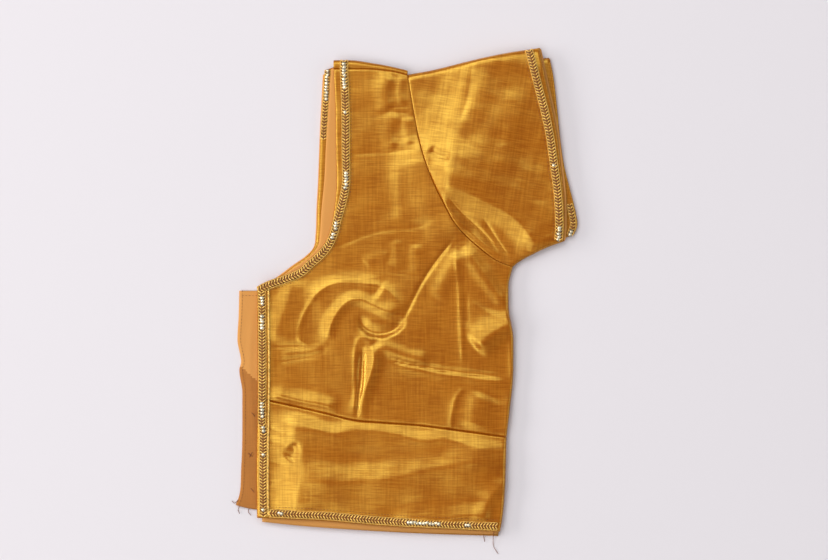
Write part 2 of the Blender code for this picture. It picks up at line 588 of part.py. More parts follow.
for leftover in list(bpy.data.objects):
    bpy.data.objects.remove(leftover, do_unlink=True)
blouse = bpy.data.collections.new("choli_blouse")
bpy.context.scene.collection.children.link(blouse)

armhole_points = upright(ARMHOLE, ARMHOLE_ROWS, grade=1.35)
bodice_grid, shoulder_places = make_bodice(armhole_points)
waistband_grid = make_waistband()
shoulder_grid = make_shoulder(shoulder_places)
sleeve_grid = make_sleeve(armhole_points)
make_folded_layers(armhole_points)
make_backs_at_neck()
make_back_hem()
make_underlap()
make_trims(bodice_grid, waistband_grid, shoulder_grid, sleeve_grid)
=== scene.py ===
import math
from collections import namedtuple

import bpy
import numpy as np
from bpy.props import FloatProperty, FloatVectorProperty, IntProperty, PointerProperty
from bpy.types import Operator, Panel, PropertyGroup
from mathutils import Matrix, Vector
from mathutils.bvhtree import BVHTree


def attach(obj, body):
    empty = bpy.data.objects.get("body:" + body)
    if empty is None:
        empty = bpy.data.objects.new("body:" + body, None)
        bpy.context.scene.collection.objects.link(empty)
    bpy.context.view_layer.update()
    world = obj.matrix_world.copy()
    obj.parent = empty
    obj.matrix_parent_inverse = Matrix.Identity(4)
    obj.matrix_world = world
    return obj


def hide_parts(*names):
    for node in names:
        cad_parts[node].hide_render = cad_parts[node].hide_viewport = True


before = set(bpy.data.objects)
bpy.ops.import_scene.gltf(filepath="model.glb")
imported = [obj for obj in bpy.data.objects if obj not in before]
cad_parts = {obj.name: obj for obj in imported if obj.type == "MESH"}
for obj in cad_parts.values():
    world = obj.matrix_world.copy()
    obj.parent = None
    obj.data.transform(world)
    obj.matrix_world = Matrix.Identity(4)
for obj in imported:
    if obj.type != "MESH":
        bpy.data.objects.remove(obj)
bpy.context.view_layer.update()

bl_info = {
    "name": "Folded choli blouse",
    "version": (1, 0, 0),
    "blender": (4, 5, 0),
    "location": "3D View > Sidebar > Blouse",
    "description": "Gold silk tissue choli blouse with zari braid, folded in half and laid flat",
    "category": "Object",
}

MM = 0.001

# ---------------------------------------------------------------- cut of the blouse, in millimetres

Point = namedtuple("Point", "x y")


def edge(*rows):
    """An edge as a table with the columns x and y, from its lower or left end."""
    return np.array([Point(*row) for row in rows], float)


FRONT_EDGE = edge((-122.0, -184.0), (-122.5, -150.0), (-122.0, -108.0), (-121.5, -60.0), (-122.0, 5.0))
NECKLINE = edge((-122.0, 5.0), (-114.5, 9.0), (-100.0, 14.3), (-89.8, 18.4), (-80.2, 26.6), (-72.3, 33.5),
                (-67.0, 40.0), (-62.5, 50.0), (-60.4, 59.0), (-58.0, 75.0), (-57.0, 90.0), (-57.5, 117.0),
                (-58.0, 150.0), (-59.5, 183.0))
SIDE_SEAM = edge((76.5, -195.5), (79.0, -180.0), (81.0, -150.0), (82.0, -118.0), (84.0, -100.0),
                 (87.0, -72.0), (87.5, -40.0), (83.5, -10.0), (83.5, 5.0), (87.0, 21.0))
ARMHOLE = edge((87.0, 21.0), (76.5, 25.0), (57.5, 38.5), (41.5, 54.0), (29.5, 74.5), (19.0, 97.0),
               (12.0, 118.5), (6.0, 147.0), (3.0, 165.0), (1.0, 178.0))
HEM = edge((-122.0, -184.0), (-66.0, -186.5), (-19.0, -190.6), (28.0, -193.0), (76.5, -195.5))
WAIST_SEAM = edge((-122.0, -86.0), (-90.0, -93.0), (-66.0, -98.5), (-43.0, -104.0), (-19.5, -106.0),
                  (12.0, -108.5), (43.5, -112.5), (82.0, -118.0))
SHOULDER_SEAM = edge((-59.5, 183.0), (-48.0, 183.0), (-24.5, 182.5), (-9.0, 180.5), (1.0, 178.0))
SHOULDER_FOLD = edge((-59.5, 190.0), (-48.0, 190.0), (-24.5, 187.0), (-9.0, 184.0), (1.0, 181.5))
UNDERARM = edge((87.0, 21.0), (93.0, 26.0), (101.5, 30.5), (113.5, 36.5), (128.0, 42.0))
SLEEVE_MOUTH = edge((128.0, 42.0), (129.0, 55.5), (128.5, 80.0), (126.0, 104.5), (123.0, 129.0),
                    (119.5, 148.0), (115.0, 168.0), (108.0, 200.0))
SLEEVE_TOP = edge((1.0, 178.0), (22.5, 182.0), (50.5, 189.0), (77.5, 195.0), (108.0, 200.0))
FAR_MOUTH = edge((137.0, 46.5), (140.0, 56.0), (138.5, 66.0), (134.0, 84.0), (129.0, 104.5),
                 (126.0, 125.0), (123.5, 149.5), (120.0, 178.5), (117.0, 193.0))
FAR_UNDERARM = edge((87.0, 21.0), (96.0, 26.5), (110.0, 34.5), (124.0, 41.5), (137.0, 46.5))
FAR_TOP = edge((1.0, 178.0), (30.0, 181.0), (60.0, 187.0), (90.0, 191.5), (117.0, 193.0))
LOWEST_NECK = edge((-118.0, 4.0), (-112.0, 9.0), (-105.5, 13.2), (-93.0, 22.6), (-83.0, 29.5), (-76.5, 36.5),
                   (-74.5, 48.0), (-73.8, 67.7), (-72.6, 89.0), (-70.9, 133.0), (-68.5, 178.5))
LOWEST_HEM = edge((-118.0, -187.5), (-82.5, -191.5), (-35.0, -195.0), (12.0, -197.5), (73.0, -199.5))
RIGHT_BACK_NECK = edge((-118.0, 3.0), (-104.0, 13.0), (-92.0, 22.0), (-82.2, 29.0), (-75.6, 36.8),
                       (-73.6, 48.0), (-72.9, 67.7), (-71.7, 89.0), (-70.0, 133.0), (-67.0, 182.0))
LEFT_BACK_NECK = edge((-118.0, 2.0), (-102.5, 13.0), (-90.5, 21.5), (-80.0, 29.0), (-72.5, 38.0),
                      (-71.0, 46.3), (-69.5, 67.5), (-67.2, 92.0), (-65.8, 120.0), (-63.8, 149.6),
                      (-61.5, 183.0))
BACK_SHOULDER = edge((-67.0, 182.0), (-48.0, 187.0), (-24.5, 184.0), (-9.0, 181.0), (0.0, 178.5))
UNDERLAP_EDGE = edge((-140.0, -174.0), (-137.0, -166.0), (-135.5, -145.0), (-134.5, -113.0), (-134.5, -82.0),
                     (-137.0, -63.0), (-135.5, -57.0), (-138.5, -38.0), (-137.5, -19.0), (-137.0, 1.5))
UNDERLAP_FOOT = edge((-140.0, -174.0), (-131.0, -176.5), (-116.0, -178.8))


# Strip of silk between an edge and the braid sewn beside it: height on the blouse and width.
Strip = namedtuple("Strip", "y width")
FRONT_STRIP = (Strip(-190.0, 2.6), Strip(-112.0, 2.6), Strip(-106.0, 1.2), Strip(10.0, 1.0))
NECK_STRIP = (Strip(5.0, 0.6), Strip(60.0, 0.8), Strip(75.0, 3.0), Strip(90.0, 4.9), Strip(190.0, 5.6))
MOUTH_STRIP = (Strip(40.0, 1.0), Strip(90.0, 2.2), Strip(150.0, 3.6), Strip(200.0, 5.4))
HEM_STRIP = 1.6
BACK_NECK_BRAID_REACH = (126.0, 181.0)

# Stretches of a braid where foil sequins are sewn over the plait: from and to, in its main direction.
Stretch = namedtuple("Stretch", "start end")
SEQUINS = {
    "neck_braid": (Stretch(165.0, 187.0), Stretch(146.0, 149.0), Stretch(84.0, 100.0), Stretch(52.0, 59.0),
                   Stretch(44.0, 49.0)),
    "front_edge_braid": (Stretch(-11.0, -3.0), Stretch(-31.0, -17.0), Stretch(-102.0, -90.0),
                         Stretch(-113.0, -109.0), Stretch(-134.5, -131.5), Stretch(-178.0, -175.5)),
    "hem_braid": (Stretch(2.0, 28.0), Stretch(49.0, 53.0), Stretch(-106.0, -101.0)),
    "sleeve_braid": (Stretch(42.0, 54.0), Stretch(104.0, 106.0)),
    "back_neck_braid": (Stretch(157.0, 182.0),),
    "far_sleeve_braid": (Stretch(47.0, 50.0),),
}

# Thread ends that hang out, each as points in space: two at the hem, the frayed foot of the underlap and
# the knots that held its hooks.
LOOSE_THREADS = (
    ((61.0, -192.0, 5.2), (62.5, -197.0, 3.4), (63.5, -201.0, 1.2), (64.0, -204.0, 0.3)),
    ((71.5, -195.0, 5.0), (71.0, -202.0, 2.4), (71.5, -208.0, 0.5), (75.0, -214.0, 0.3)),
    ((-138.0, -170.0, 1.6), (-141.0, -172.5, 0.8), (-143.0, -171.0, 0.3)),
    ((-136.0, -174.0, 1.4), (-138.0, -178.0, 0.6), (-137.0, -181.0, 0.3)),
    ((-129.0, -176.5, 1.4), (-129.5, -180.0, 0.5), (-127.5, -182.5, 0.3)),
    ((-129.5, -131.5, 1.8), (-128.0, -133.0, 2.4), (-126.5, -134.0, 1.8)),
    ((-128.5, -134.5, 1.8), (-127.5, -132.5, 2.4), (-126.5, -131.0, 1.8)),
    ((-127.5, -160.5, 1.8), (-126.0, -162.0, 2.3), (-125.0, -163.5, 1.8)),
    ((-127.0, -98.5, 1.8), (-125.5, -99.5, 2.3), (-124.5, -101.5, 1.8)),
)

# ---------------------------------------------------------------- lie of the cloth, in millimetres

STACK = 6.4            # height of the layers under the top cloth
TOP_CLOTH = 1.8        # top cloth's outer side above them
WALL = 0.7             # silk with its cotton lining
RIGHT_FRONT_Z = 1.2    # outer sides of the layers below, from the surface up
RIGHT_BACK_Z = 3.1
LEFT_BACK_Z = 4.8
REST_Z = 0.1           # clear space above the surface
BRAID_WIDTH = 6.0
TURNINGS = 10.0        # cloth turned in at each edge
SEAM_REACH = 7.0       # how far from a seam the cloth comes to its neighbour's height
NOTCH_Y = -60.0        # the underlap is browner below its notch
ARMPIT_Y = 21.0
SIDE_DROP = 1.3
SIDE_DROP_X = (52.0, 88.0)

# Broad swell of the top cloth: place, reach each way and height.
Swell = namedtuple("Swell", "x y reach_x reach_y height")
BODICE_SWELLS = (
    Swell(-28.0, -30.0, 78.0, 62.0, 2.2),    # bust
    Swell(40.0, -30.0, 50.0, 60.0, 0.8),     # side of the bust
)
WAISTBAND_SWELLS = (
    Swell(-20.0, -150.0, 110.0, 44.0, 0.4),
)
SLEEVE_SWELLS = (
    Swell(60.0, 130.0, 80.0, 90.0, 0.4),
)

# A crease follows its path. Its height is positive for a ridge and negative for a groove, and it falls off
# over one width on its left hand and another on its right hand. Its form is a soft roll, a sharp line that
# fades out, or two flat slopes that meet at the crest, as pressed tissue has.
ROLL, LINE, SLOPES = "roll", "line", "slopes"
Crease = namedtuple("Crease", "form height left right path")
OUTER_ARCH = ((-89, -39), (-87, -28), (-82, -15), (-75, -4), (-66, 4), (-52, 8), (-35, 7), (-22, 5), (-14, 1),
              (-8, -6), (-4, -16))
INNER_ARCH = ((-65, -41), (-62, -28), (-56, -16), (-46, -7), (-38, -6), (-28, -10), (-17, -15), (-4, -18))
BODICE_CREASES = (
    # outer ridge of the bust swirl: crisp crest, soft slope outside its top, and its closed foot
    Crease(LINE, 0.85, 1.7, 1.4, OUTER_ARCH),
    Crease(SLOPES, 0.9, 9.0, 16.0, ((-84, -12), (-77, -4), (-66, 5), (-52, 9), (-35, 8), (-20, 6))),
    Crease(ROLL, 1.4, 8.0, 8.0, ((-24, 2), (-14, -6), (-8, -18))),
    Crease(LINE, 0.7, 1.8, 2.0, ((-89, -33), (-85, -40), (-75, -42), (-62, -40))),
    # inner ridge of the swirl
    Crease(SLOPES, 1.7, 8.0, 6.0, INNER_ARCH),
    Crease(LINE, 0.45, 1.2, 1.0, INNER_ARCH),
    # hollow inside the swirl, with its lip
    Crease(ROLL, -2.0, 4.6, 2.6, ((-38, -18), (-35, -28), (-26, -33), (-14, -32), (-4, -24), (-2, -19))),
    Crease(LINE, 0.35, 1.2, 2.2, ((-40, -33), (-30, -37), (-16, -37), (-4, -31), (0, -23))),
    # dart from the armhole to the apex, and the slope beside it
    Crease(LINE, -1.2, 1.0, 0.9, ((40, 46), (32, 36), (20, 20), (10, 4), (3, -10), (-2, -20), (-5, -26))),
    Crease(ROLL, 1.3, 8.0, 7.0, ((44, 34), (37, 20), (30, 7), (22, -6))),
    # front edge darts, the bright patch between them and the slope up from the edge
    Crease(LINE, -0.5, 1.2, 1.6, ((-112, -44), (-90, -43), (-68, -41), (-60, -40))),
    Crease(LINE, -0.6, 1.4, 1.4, ((-108, -57), (-95, -55), (-73, -50), (-63, -45))),
    Crease(ROLL, 0.6, 3.0, 2.6, ((-103, -51), (-84, -49), (-66, -46))),
    Crease(SLOPES, 1.4, 12.0, 26.0, ((-108, -42), (-104, -28), (-97, -8), (-91, 14))),
    Crease(SLOPES, 2.3, 10.0, 4.0, ((-112, -82), (-92, -87), (-76, -90), (-54, -95))),
    # waist dart: stitched slot, the bright edge on its left and the folded slope on its right
    Crease(LINE, -3.4, 1.3, 2.0, ((-35, -44), (-36, -56), (-37.5, -76), (-41, -104))),
    Crease(LINE, 0.7, 1.6, 0.9, ((-40, -36), (-42, -50), (-42, -78), (-42, -104))),
    Crease(LINE, 0.7, 2.5, 3.0, ((-42, -40), (-34, -37), (-27, -42))),
    Crease(SLOPES, 2.5, 8.5, 8.0, ((-41, -104), (-37, -88), (-32, -75), (-28, -64), (-26, -52), (-30, -40))),
    Crease(LINE, 0.5, 2.2, 1.8, ((-37, -88), (-32, -75), (-28, -64), (-26, -52), (-29, -42))),
    Crease(ROLL, 1.7, 6.0, 6.0, ((-26, -42), (-12, -47), (2, -52), (20, -55))),
    # side dart and the slope below it
    Crease(LINE, -1.9, 1.0, 1.4, ((-19, -52), (-2, -57), (15, -60), (32, -63), (49, -65), (84, -69))),
    Crease(LINE, 0.8, 2.6, 4.0, ((-16, -58), (15, -64), (49, -69), (84, -74))),
    # ridges under the arm
    Crease(LINE, 0.8, 1.8, 1.4, ((40, 40), (41, 22), (43, 5), (44, -17), (45, -39), (46, -62))),
    Crease(LINE, -0.5, 0.9, 1.2, ((49, 2), (49, -12), (50, -28))),
    Crease(ROLL, 1.9, 6.0, 7.0, ((46, 38), (59, 20), (71, 3), (84, -13))),
    Crease(SLOPES, 4.3, 17.0, 12.0, ((56, -46), (66, -37), (76, -30), (90, -24))),
    Crease(LINE, 0.5, 1.6, 2.0, ((50, -6), (62, -14), (74, -19), (88, -24))),
    Crease(LINE, 0.7, 1.7, 1.2, ((86, -72), (85, -36))),
    # tucks above the waist seam
    Crease(LINE, 1.0, 3.0, 1.4, ((36, -112), (38, -98), (41, -86), (48, -77))),
    Crease(ROLL, 1.9, 10.0, 14.0, ((54, -112), (58, -96), (64, -82))),
    Crease(LINE, 0.5, 3.0, 2.0, ((82, -112), (83, -84))),
    # over the front of the shoulder: rise to the armhole seam, soft rings and the pressed line
    Crease(SLOPES, 3.4, 27.0, 5.0, ((48, 44), (35, 64), (24, 86), (15, 108), (9, 130))),
    Crease(ROLL, 1.1, 9.0, 26.0, ((-2, 54), (-3, 84), (-5, 112))),
    Crease(LINE, -0.4, 4.0, 1.6, ((-60, 36), (-25, 49), (13, 55), (28, 64))),
    Crease(LINE, -0.45, 1.0, 1.4, ((-48, 113), (-16, 115), (10, 117))),
    Crease(ROLL, 1.3, 8.0, 5.0, ((-13, 149), (-17, 158), (-17, 168), (-12, 178))),
    Crease(ROLL, 0.9, 7.0, 4.5, ((-8, 118), (-13, 125), (-13, 137), (-7, 146))),
    Crease(ROLL, 0.8, 5.0, 5.0, ((3, 120), (1, 132), (1, 144))),
    Crease(ROLL, 0.7, 4.0, 4.0, ((-3, 152), (-5, 164), (-3, 178))),
    Crease(LINE, -0.4, 1.0, 1.0, ((-18, 147), (4, 147))),
    Crease(LINE, -0.25, 0.9, 1.0, ((-15, 152), (3, 152))),
    # dimples below the shoulder
    Crease(ROLL, 0.6, 5.0, 5.0, ((-7, 18), (-8, 44))),
    Crease(ROLL, 0.6, 5.0, 6.0, ((9, 14), (8, 40))),
    Crease(ROLL, 0.5, 6.0, 6.0, ((-34, 22), (-22, 30), (-14, 28))),
)
WAISTBAND_CREASES = (
    # slope up to the seam, then bands that cross the front
    Crease(SLOPES, 2.0, 9.0, 18.0, ((-110, -104), (-92, -107), (-82, -109), (-62, -115), (-40, -112),
                                    (-4, -117), (12, -121), (30, -120), (60, -126), (92, -128))),
    Crease(SLOPES, 3.7, 17.5, 35.0, ((-98, -157), (-80, -154), (-50, -155), (-13, -152), (12, -146),
                                     (32, -142), (71, -138), (92, -139))),
    Crease(SLOPES, 2.9, 13.0, 8.0, ((-12, -190), (8, -184), (30, -185), (56, -182), (70, -186))),
    Crease(SLOPES, 1.8, 9.0, 8.0, ((62, -190), (66, -172), (74, -160), (90, -156))),
    Crease(SLOPES, 3.6, 21.0, 40.0, ((-86, -188), (-88, -160), (-84, -140), (-90, -120), (-88, -96))),
    Crease(ROLL, -1.7, 4.0, 5.0, ((-94, -123), (-91, -129), (-96, -136))),
    # puckers beside the front braid
    Crease(LINE, -0.6, 1.6, 1.6, ((-113, -110), (-98, -116))),
    Crease(LINE, -0.6, 1.6, 1.6, ((-113, -121), (-97, -124))),
    Crease(LINE, -0.4, 1.6, 1.6, ((-113, -138), (-99, -140))),
    Crease(LINE, -0.4, 1.6, 1.6, ((-113, -156), (-100, -153))),
)
SLEEVE_CREASES = (
    # crest of the sleeve cap, with the long slope down to the armhole seam
    Crease(SLOPES, 5.8, 42.0, 74.0, ((31, 70), (35, 98), (40, 114), (50, 127), (60, 141), (67, 158),
                                     (72, 178), (76, 216))),
    Crease(ROLL, -1.1, 8.0, 8.0, ((40, 112), (52, 128), (63, 144), (70, 160), (74, 190))),
    # crest of the underarm part, with the slope down to the fold beside the seam
    Crease(SLOPES, 4.8, 50.0, 17.0, ((14, 92), (31, 86), (50, 80), (67, 73), (82, 66), (94, 56),
                                     (103, 44), (110, 30))),
    Crease(LINE, -1.3, 1.8, 2.4, ((32, 80), (45, 65), (60, 51), (76, 34))),
    Crease(LINE, 0.8, 2.0, 2.2, ((30, 74), (44, 57), (62, 41), (78, 29))),
    Crease(LINE, -0.7, 1.4, 2.2, ((62, 62), (72, 46), (84, 28))),
    Crease(LINE, 0.9, 4.0, 4.0, ((98, 36), (114, 44), (128, 50))),
    # dimple beside the seam and folds down the cap
    Crease(ROLL, -1.3, 2.6, 3.0, ((19, 117), (25, 113), (36, 110))),
    Crease(LINE, -0.35, 2.0, 2.6, ((44, 140), (50, 160), (54, 190))),
    Crease(ROLL, 0.8, 7.0, 9.0, ((80, 96), (84, 130), (90, 170))),
    Crease(LINE, 0.25, 3.0, 3.0, ((70, 118), (96, 121), (118, 122))),
)
UNDERLAP_CREASES = (
    Crease(LINE, -0.5, 1.2, 1.2, ((-138, -59), (-131, -68), (-126, -69))),
    Crease(ROLL, 0.35, 2.0, 3.0, ((-126, -10), (-128, -60), (-125, -120))),
    Crease(LINE, -0.3, 1.0, 1.6, ((-136, -124), (-120, -122))),
)

# Soft boxes: compass direction from +X, angle from straight above, distance, width, height and radiance.
Light = namedtuple("Light", "name azimuth from_zenith distance wide tall radiance")
LIGHTS = (
    Light("window", 168.0, 33.0, 4.6, 7.6, 3.0, 1.65),
    Light("low_window", 172.0, 69.0, 4.6, 4.0, 1.2, 7.6),
    Light("top_window", 94.0, 31.0, 4.2, 4.2, 2.4, 1.9),
    Light("lower_window", 235.0, 33.0, 4.2, 3.2, 2.2, 1.3),
    Light("near_fill", 280.0, 55.0, 4.2, 3.4, 1.4, 0.5),
    Light("right_fill", 0.0, 66.0, 4.2, 3.6, 1.7, 1.3),
)


def eased(keys, values, wanted):
    """Monotone cubic reading of a table of values at the wanted keys."""
    keys, values, wanted = np.asarray(keys, float), np.asarray(values, float), np.asarray(wanted, float)
    spans = np.diff(keys)
    slopes = np.diff(values) / spans
    tangents = np.concatenate(([slopes[0]], (slopes[1:] + slopes[:-1]) / 2.0, [slopes[-1]]))
    turning = np.concatenate(([False], slopes[1:] * slopes[:-1] <= 0.0, [False]))
    tangents[turning] = 0.0
    index = np.clip(np.searchsorted(keys, wanted) - 1, 0, len(spans) - 1)
    part = np.clip((wanted - keys[index]) / spans[index], 0.0, 1.0)
    square, cube = part ** 2, part ** 3
    return ((2 * cube - 3 * square + 1) * values[index]
            + (cube - 2 * square + part) * tangents[index] * spans[index]
            + (3 * square - 2 * cube) * values[index + 1]
            + (cube - square) * tangents[index + 1] * spans[index])


def spaced(line, count):
    """The line's points at even distances, count steps from end to end."""
    lengths = np.concatenate(([0.0], np.cumsum(np.linalg.norm(np.diff(line, axis=0), axis=1))))
    marks = np.linspace(0.0, lengths[-1], count + 1)
    return np.stack([np.interp(marks, lengths, line[:, axis]) for axis in range(line.shape[1])], axis=1)


def upright(rows, count, low=None, high=None):
    """Points up an edge that rises steadily, at even distances along it."""
    low = rows[0, 1] if low is None else low
    high = rows[-1, 1] if high is None else high
    heights = np.linspace(low, high, 400)
    return spaced(np.stack((eased(rows[:, 1], rows[:, 0], heights), heights), axis=1), count)


def level(rows, part):
    """Points along an edge that runs from left to right, at parts of its width."""
    x = rows[0, 0] + (rows[-1, 0] - rows[0, 0]) * np.asarray(part)
    return np.stack((x, eased(rows[:, 0], rows[:, 1], x)), axis=-1)


def bow(rows, part):
    """How far an edge bows away from the straight line between its ends."""
    part = np.asarray(part)[..., None]
    return level(rows, part[..., 0]) - (rows[0] * (1.0 - part) + rows[-1] * part)


def joined(*lines):
    """Lines joined end to end, each first point after the first line's left out."""
    return np.concatenate([lines[0]] + [line[1:] for line in lines[1:]])


def patch(left, right, bottom, top, columns):
    """Grid of plan points between two lines, bowed at its foot and head as those edges are."""
    across = np.linspace(0.0, 1.0, columns + 1)
    heights = left[:, 1] + right[:, 1]
    climbs = ((heights - heights[0]) / (heights[-1] - heights[0]))[:, None, None]
    ruled = left[:, None, :] * (1.0 - across)[None, :, None] + right[:, None, :] * across[None, :, None]
    return ruled + bow(bottom, across)[None] * (1.0 - climbs) + bow(top, across)[None] * climbs


def nearest_on(line, x, y):
    """Distance to a line, signed with its left hand positive, and the part of the line passed there."""
    steps = np.diff(line, axis=0)
    lengths = np.linalg.norm(steps, axis=1)
    travelled = np.concatenate(([0.0], np.cumsum(lengths)))
    best = np.full(x.shape, np.inf)
    gap_x, gap_y, passed = np.zeros(x.shape), np.zeros(x.shape), np.zeros(x.shape)
    for start, step, length, before in zip(line[:-1], steps, lengths, travelled):
        offset_x, offset_y = x - start[0], y - start[1]
        part = np.clip((offset_x * step[0] + offset_y * step[1]) / length ** 2, 0.0, 1.0)
        offset_x, offset_y = offset_x - part * step[0], offset_y - part * step[1]
        distance = np.hypot(offset_x, offset_y)
        closer = distance < best
        best = np.where(closer, distance, best)
        gap_x, gap_y = np.where(closer, offset_x, gap_x), np.where(closer, offset_y, gap_y)
        passed = np.where(closer, (before + part * length) / travelled[-1], passed)
    travel = np.gradient(line, axis=0)
    marks = travelled / travelled[-1]
    turn = np.interp(passed, marks, travel[:, 0]) * gap_y - np.interp(passed, marks, travel[:, 1]) * gap_x
    return best * np.sign(turn), passed


def rounded(path, count=40):
    """A smooth line through the points of a path."""
    path = np.asarray(path, float)
    marks = np.concatenate(([0.0], np.cumsum(np.linalg.norm(np.diff(path, axis=0), axis=1))))
    wanted = np.linspace(0.0, marks[-1], count)
    if len(path) < 3:
        return np.stack([np.interp(wanted, marks, path[:, axis]) for axis in range(path.shape[1])], axis=1)
    tangents = np.gradient(path, marks, axis=0)
    index = np.clip(np.searchsorted(marks, wanted) - 1, 0, len(marks) - 2)
    span = (marks[index + 1] - marks[index])[:, None]
    part = ((wanted - marks[index])[:, None]) / span
    square, cube = part ** 2, part ** 3
    return ((2 * cube - 3 * square + 1) * path[index] + (cube - 2 * square + part) * tangents[index] * span
            + (3 * square - 2 * cube) * path[index + 1] + (cube - square) * tangents[index + 1] * span)


def crease_profile(form, reach):
    """Height of a crease as a part of its crest's, from the distance as a part of its width."""
    if form == ROLL:
        return np.exp(-reach ** 2)
    if form == LINE:
        return np.exp(-np.sqrt(reach ** 2 + 0.03) + 0.173)
    return np.logaddexp(0.0, 9.0 * (1.0 - np.sqrt(reach ** 2 + 0.006))) / 9.0


def crease_height(creases, x, y):
    """Height that the creases add. Each tapers towards both ends of its path."""
    total = np.zeros(x.shape)
    for crease in creases:
        signed, passed = nearest_on(rounded(crease.path), x, y)
        width = np.where(signed > 0.0, crease.left, crease.right)
        taper = np.clip(5.0 * np.minimum(passed, 1.0 - passed) + 0.08, 0.0, 1.0)
        fade = taper ** 2 * (3.0 - 2.0 * taper)
        total += crease.height * fade * crease_profile(crease.form, np.abs(signed) / width)
    return total


def swell_height(swells, x, y):
    """Height that the broad swells add."""
    total = np.zeros(x.shape)
    for swell in swells:
        reach = ((x - swell.x) / swell.reach_x) ** 2 + ((y - swell.y) / swell.reach_y) ** 2
        total += swell.height * np.clip(1.0 - reach, 0.0, 1.0) ** 2
    return total


def stack_height(x):
    """Height of the hidden layers, thinner towards the pressed side seam."""
    part = np.clip((x - SIDE_DROP_X[0]) / (SIDE_DROP_X[1] - SIDE_DROP_X[0]), 0.0, 1.0)
    return STACK - SIDE_DROP * part * part * (3.0 - 2.0 * part)


def ripple(x, y, size, amplitude, seed):
    """Faint unevenness of hand-pressed cloth: a few crossing waves from a fixed seed."""
    chance = np.random.default_rng(seed)
    total = np.zeros(x.shape)
    for _ in range(7):
        angle, phase = chance.uniform(0.0, math.pi), chance.uniform(0.0, 2.0 * math.pi)
        length = size * chance.uniform(0.6, 1.7)
        total += np.sin((x * math.cos(angle) + y * math.sin(angle)) * 2.0 * math.pi / length + phase) / 7.0
    return total * amplitude * 2.0


def rolled(distance, drop, width):
    """Drop of a turned edge, from the distance to it."""
    part = np.clip(1.0 - distance / width, 0.0, 1.0)
    return -drop * (1.0 - np.sqrt(np.clip(1.0 - part ** 2, 0.0, 1.0)))


def row_distance(grid, line_columns):
    """Distance in the plan from each grid point to a column of the grid, along its row."""
    return np.linalg.norm(grid - grid[:, [line_columns]], axis=2)


def column_distance(grid, row):
    """Distance in the plan from each grid point to a row of the grid, along its column."""
    return np.linalg.norm(grid - grid[[row]], axis=2)


def srgb(code):
    """Linear colour from an sRGB hex code."""
    channels = [int(code[place:place + 2], 16) / 255.0 for place in (0, 2, 4)]
    linear = [c / 12.92 if c <= 0.04045 else ((c + 0.055) / 1.055) ** 2.4 for c in channels]
    return (*linear, 1.0)


def add_node(tree, kind, inputs=None, links=None, **settings):
    """A node with its settings, input values, and links from other sockets."""
    node = tree.nodes.new(kind)
    for name, value in settings.items():
        setattr(node, name, value)
    for name, value in (inputs or {}).items():
        node.inputs[name].default_value = value
    for name, socket in (links or {}).items():
        tree.links.new(socket, node.inputs[name])
    return node


def new_material(name, **values):
    """A material with one Principled BSDF, its sockets set by name."""
    material = bpy.data.materials.new(name)
    material.use_nodes = True
    tree = material.node_tree
    shader = tree.nodes["Principled BSDF"]
    for socket, value in values.items():
        shader.inputs[socket.replace("_", " ")].default_value = value
    return material, tree, shader


def thread_streaks(tree, coordinates, along, pitch, seed):
    """Uneven threads that run along X or Y: noise drawn out along them, a thread's pitch apart."""
    fine, long = 1.0 / pitch, 1.0 / (pitch * 17.0)
    scale = (long, fine, fine) if along == "X" else (fine, long, fine)
    stretch = add_node(tree, "ShaderNodeMapping", {"Scale": scale, "Location": (seed, seed * 0.7, 0.0)},
                       {"Vector": coordinates})
    return add_node(tree, "ShaderNodeTexNoise", {"Scale": 1.0, "Detail": 2.0, "Roughness": 0.6},
                    {"Vector": stretch.outputs["Vector"]}, noise_dimensions="2D").outputs["Fac"]


def hex_property(name, description, code):
    """Colour property from an sRGB hex code."""
    return FloatVectorProperty(name=name, description=description, subtype="COLOR", size=4, min=0.0, max=1.0,
                               default=srgb(code))


def length_property(name, description, millimetres):
    """Length property with its default in millimetres."""
    return FloatProperty(name=name, description=description, subtype="DISTANCE", unit="LENGTH", precision=5,
                         default=millimetres * MM)


class BlouseClothSettings(PropertyGroup):
    """Silk tissue and its cotton lining."""
    silk_deep: hex_property("Silk, deep threads", "Darker orange of the silk warp", "9E4B0A")
    silk_light: hex_property("Silk, light threads", "Lighter orange of the gold weft", "BC6612")
    sheen: hex_property("Gold sheen", "Colour that the metal thread gives on slopes", "FFE266")
    lining: hex_property("Lining", "Orange cotton lining", "DD9A4C")
    facing: hex_property("Underlap foot", "Browner cotton of the underlap below its notch", "B8742C")
    gloss: FloatProperty(name="Gloss roughness", description="How far the sheen spreads", default=0.28,
                         min=0.0, max=1.0, subtype="FACTOR")
    weft_pitch: length_property("Weft pitch", "Distance between drawn weft threads", 1.0)
    warp_pitch: length_property("Warp pitch", "Distance between drawn warp threads", 1.7)
    wall: length_property("Wall", "Thickness of the silk with its lining", WALL)


class BlouseTrimSettings(PropertyGroup):
    """Zari braid, piping, sequins and thread."""
    gold: hex_property("Gold thread", "Bright strands of the braid", "FFCE68")
    # bronze is the own colour of the darker strands and of the braid's ground; on the ground it is kept dark
    # as painted shade between the strands
    bronze: hex_property("Bronze thread", "Dark ground of the braid", "9C5F22")
    foil: hex_property("Sequin foil", "Pale gold foil", "FFF1D0")
    thread: hex_property("Sewing thread", "Brown sewing thread", "6B3A1C")
    width: length_property("Braid width", "Width of the braid", BRAID_WIDTH)
    pitch: length_property("Plait pitch", "Distance between the plait's strands", 2.46)
    sequin: length_property("Sequin", "Width of a sequin", 3.5)
    stitch: length_property("Stitch pitch", "Distance between stitches", 2.6)
    seed: IntProperty(name="Seed", description="Seed of the strands' shades and the sequins' tilt", default=7)


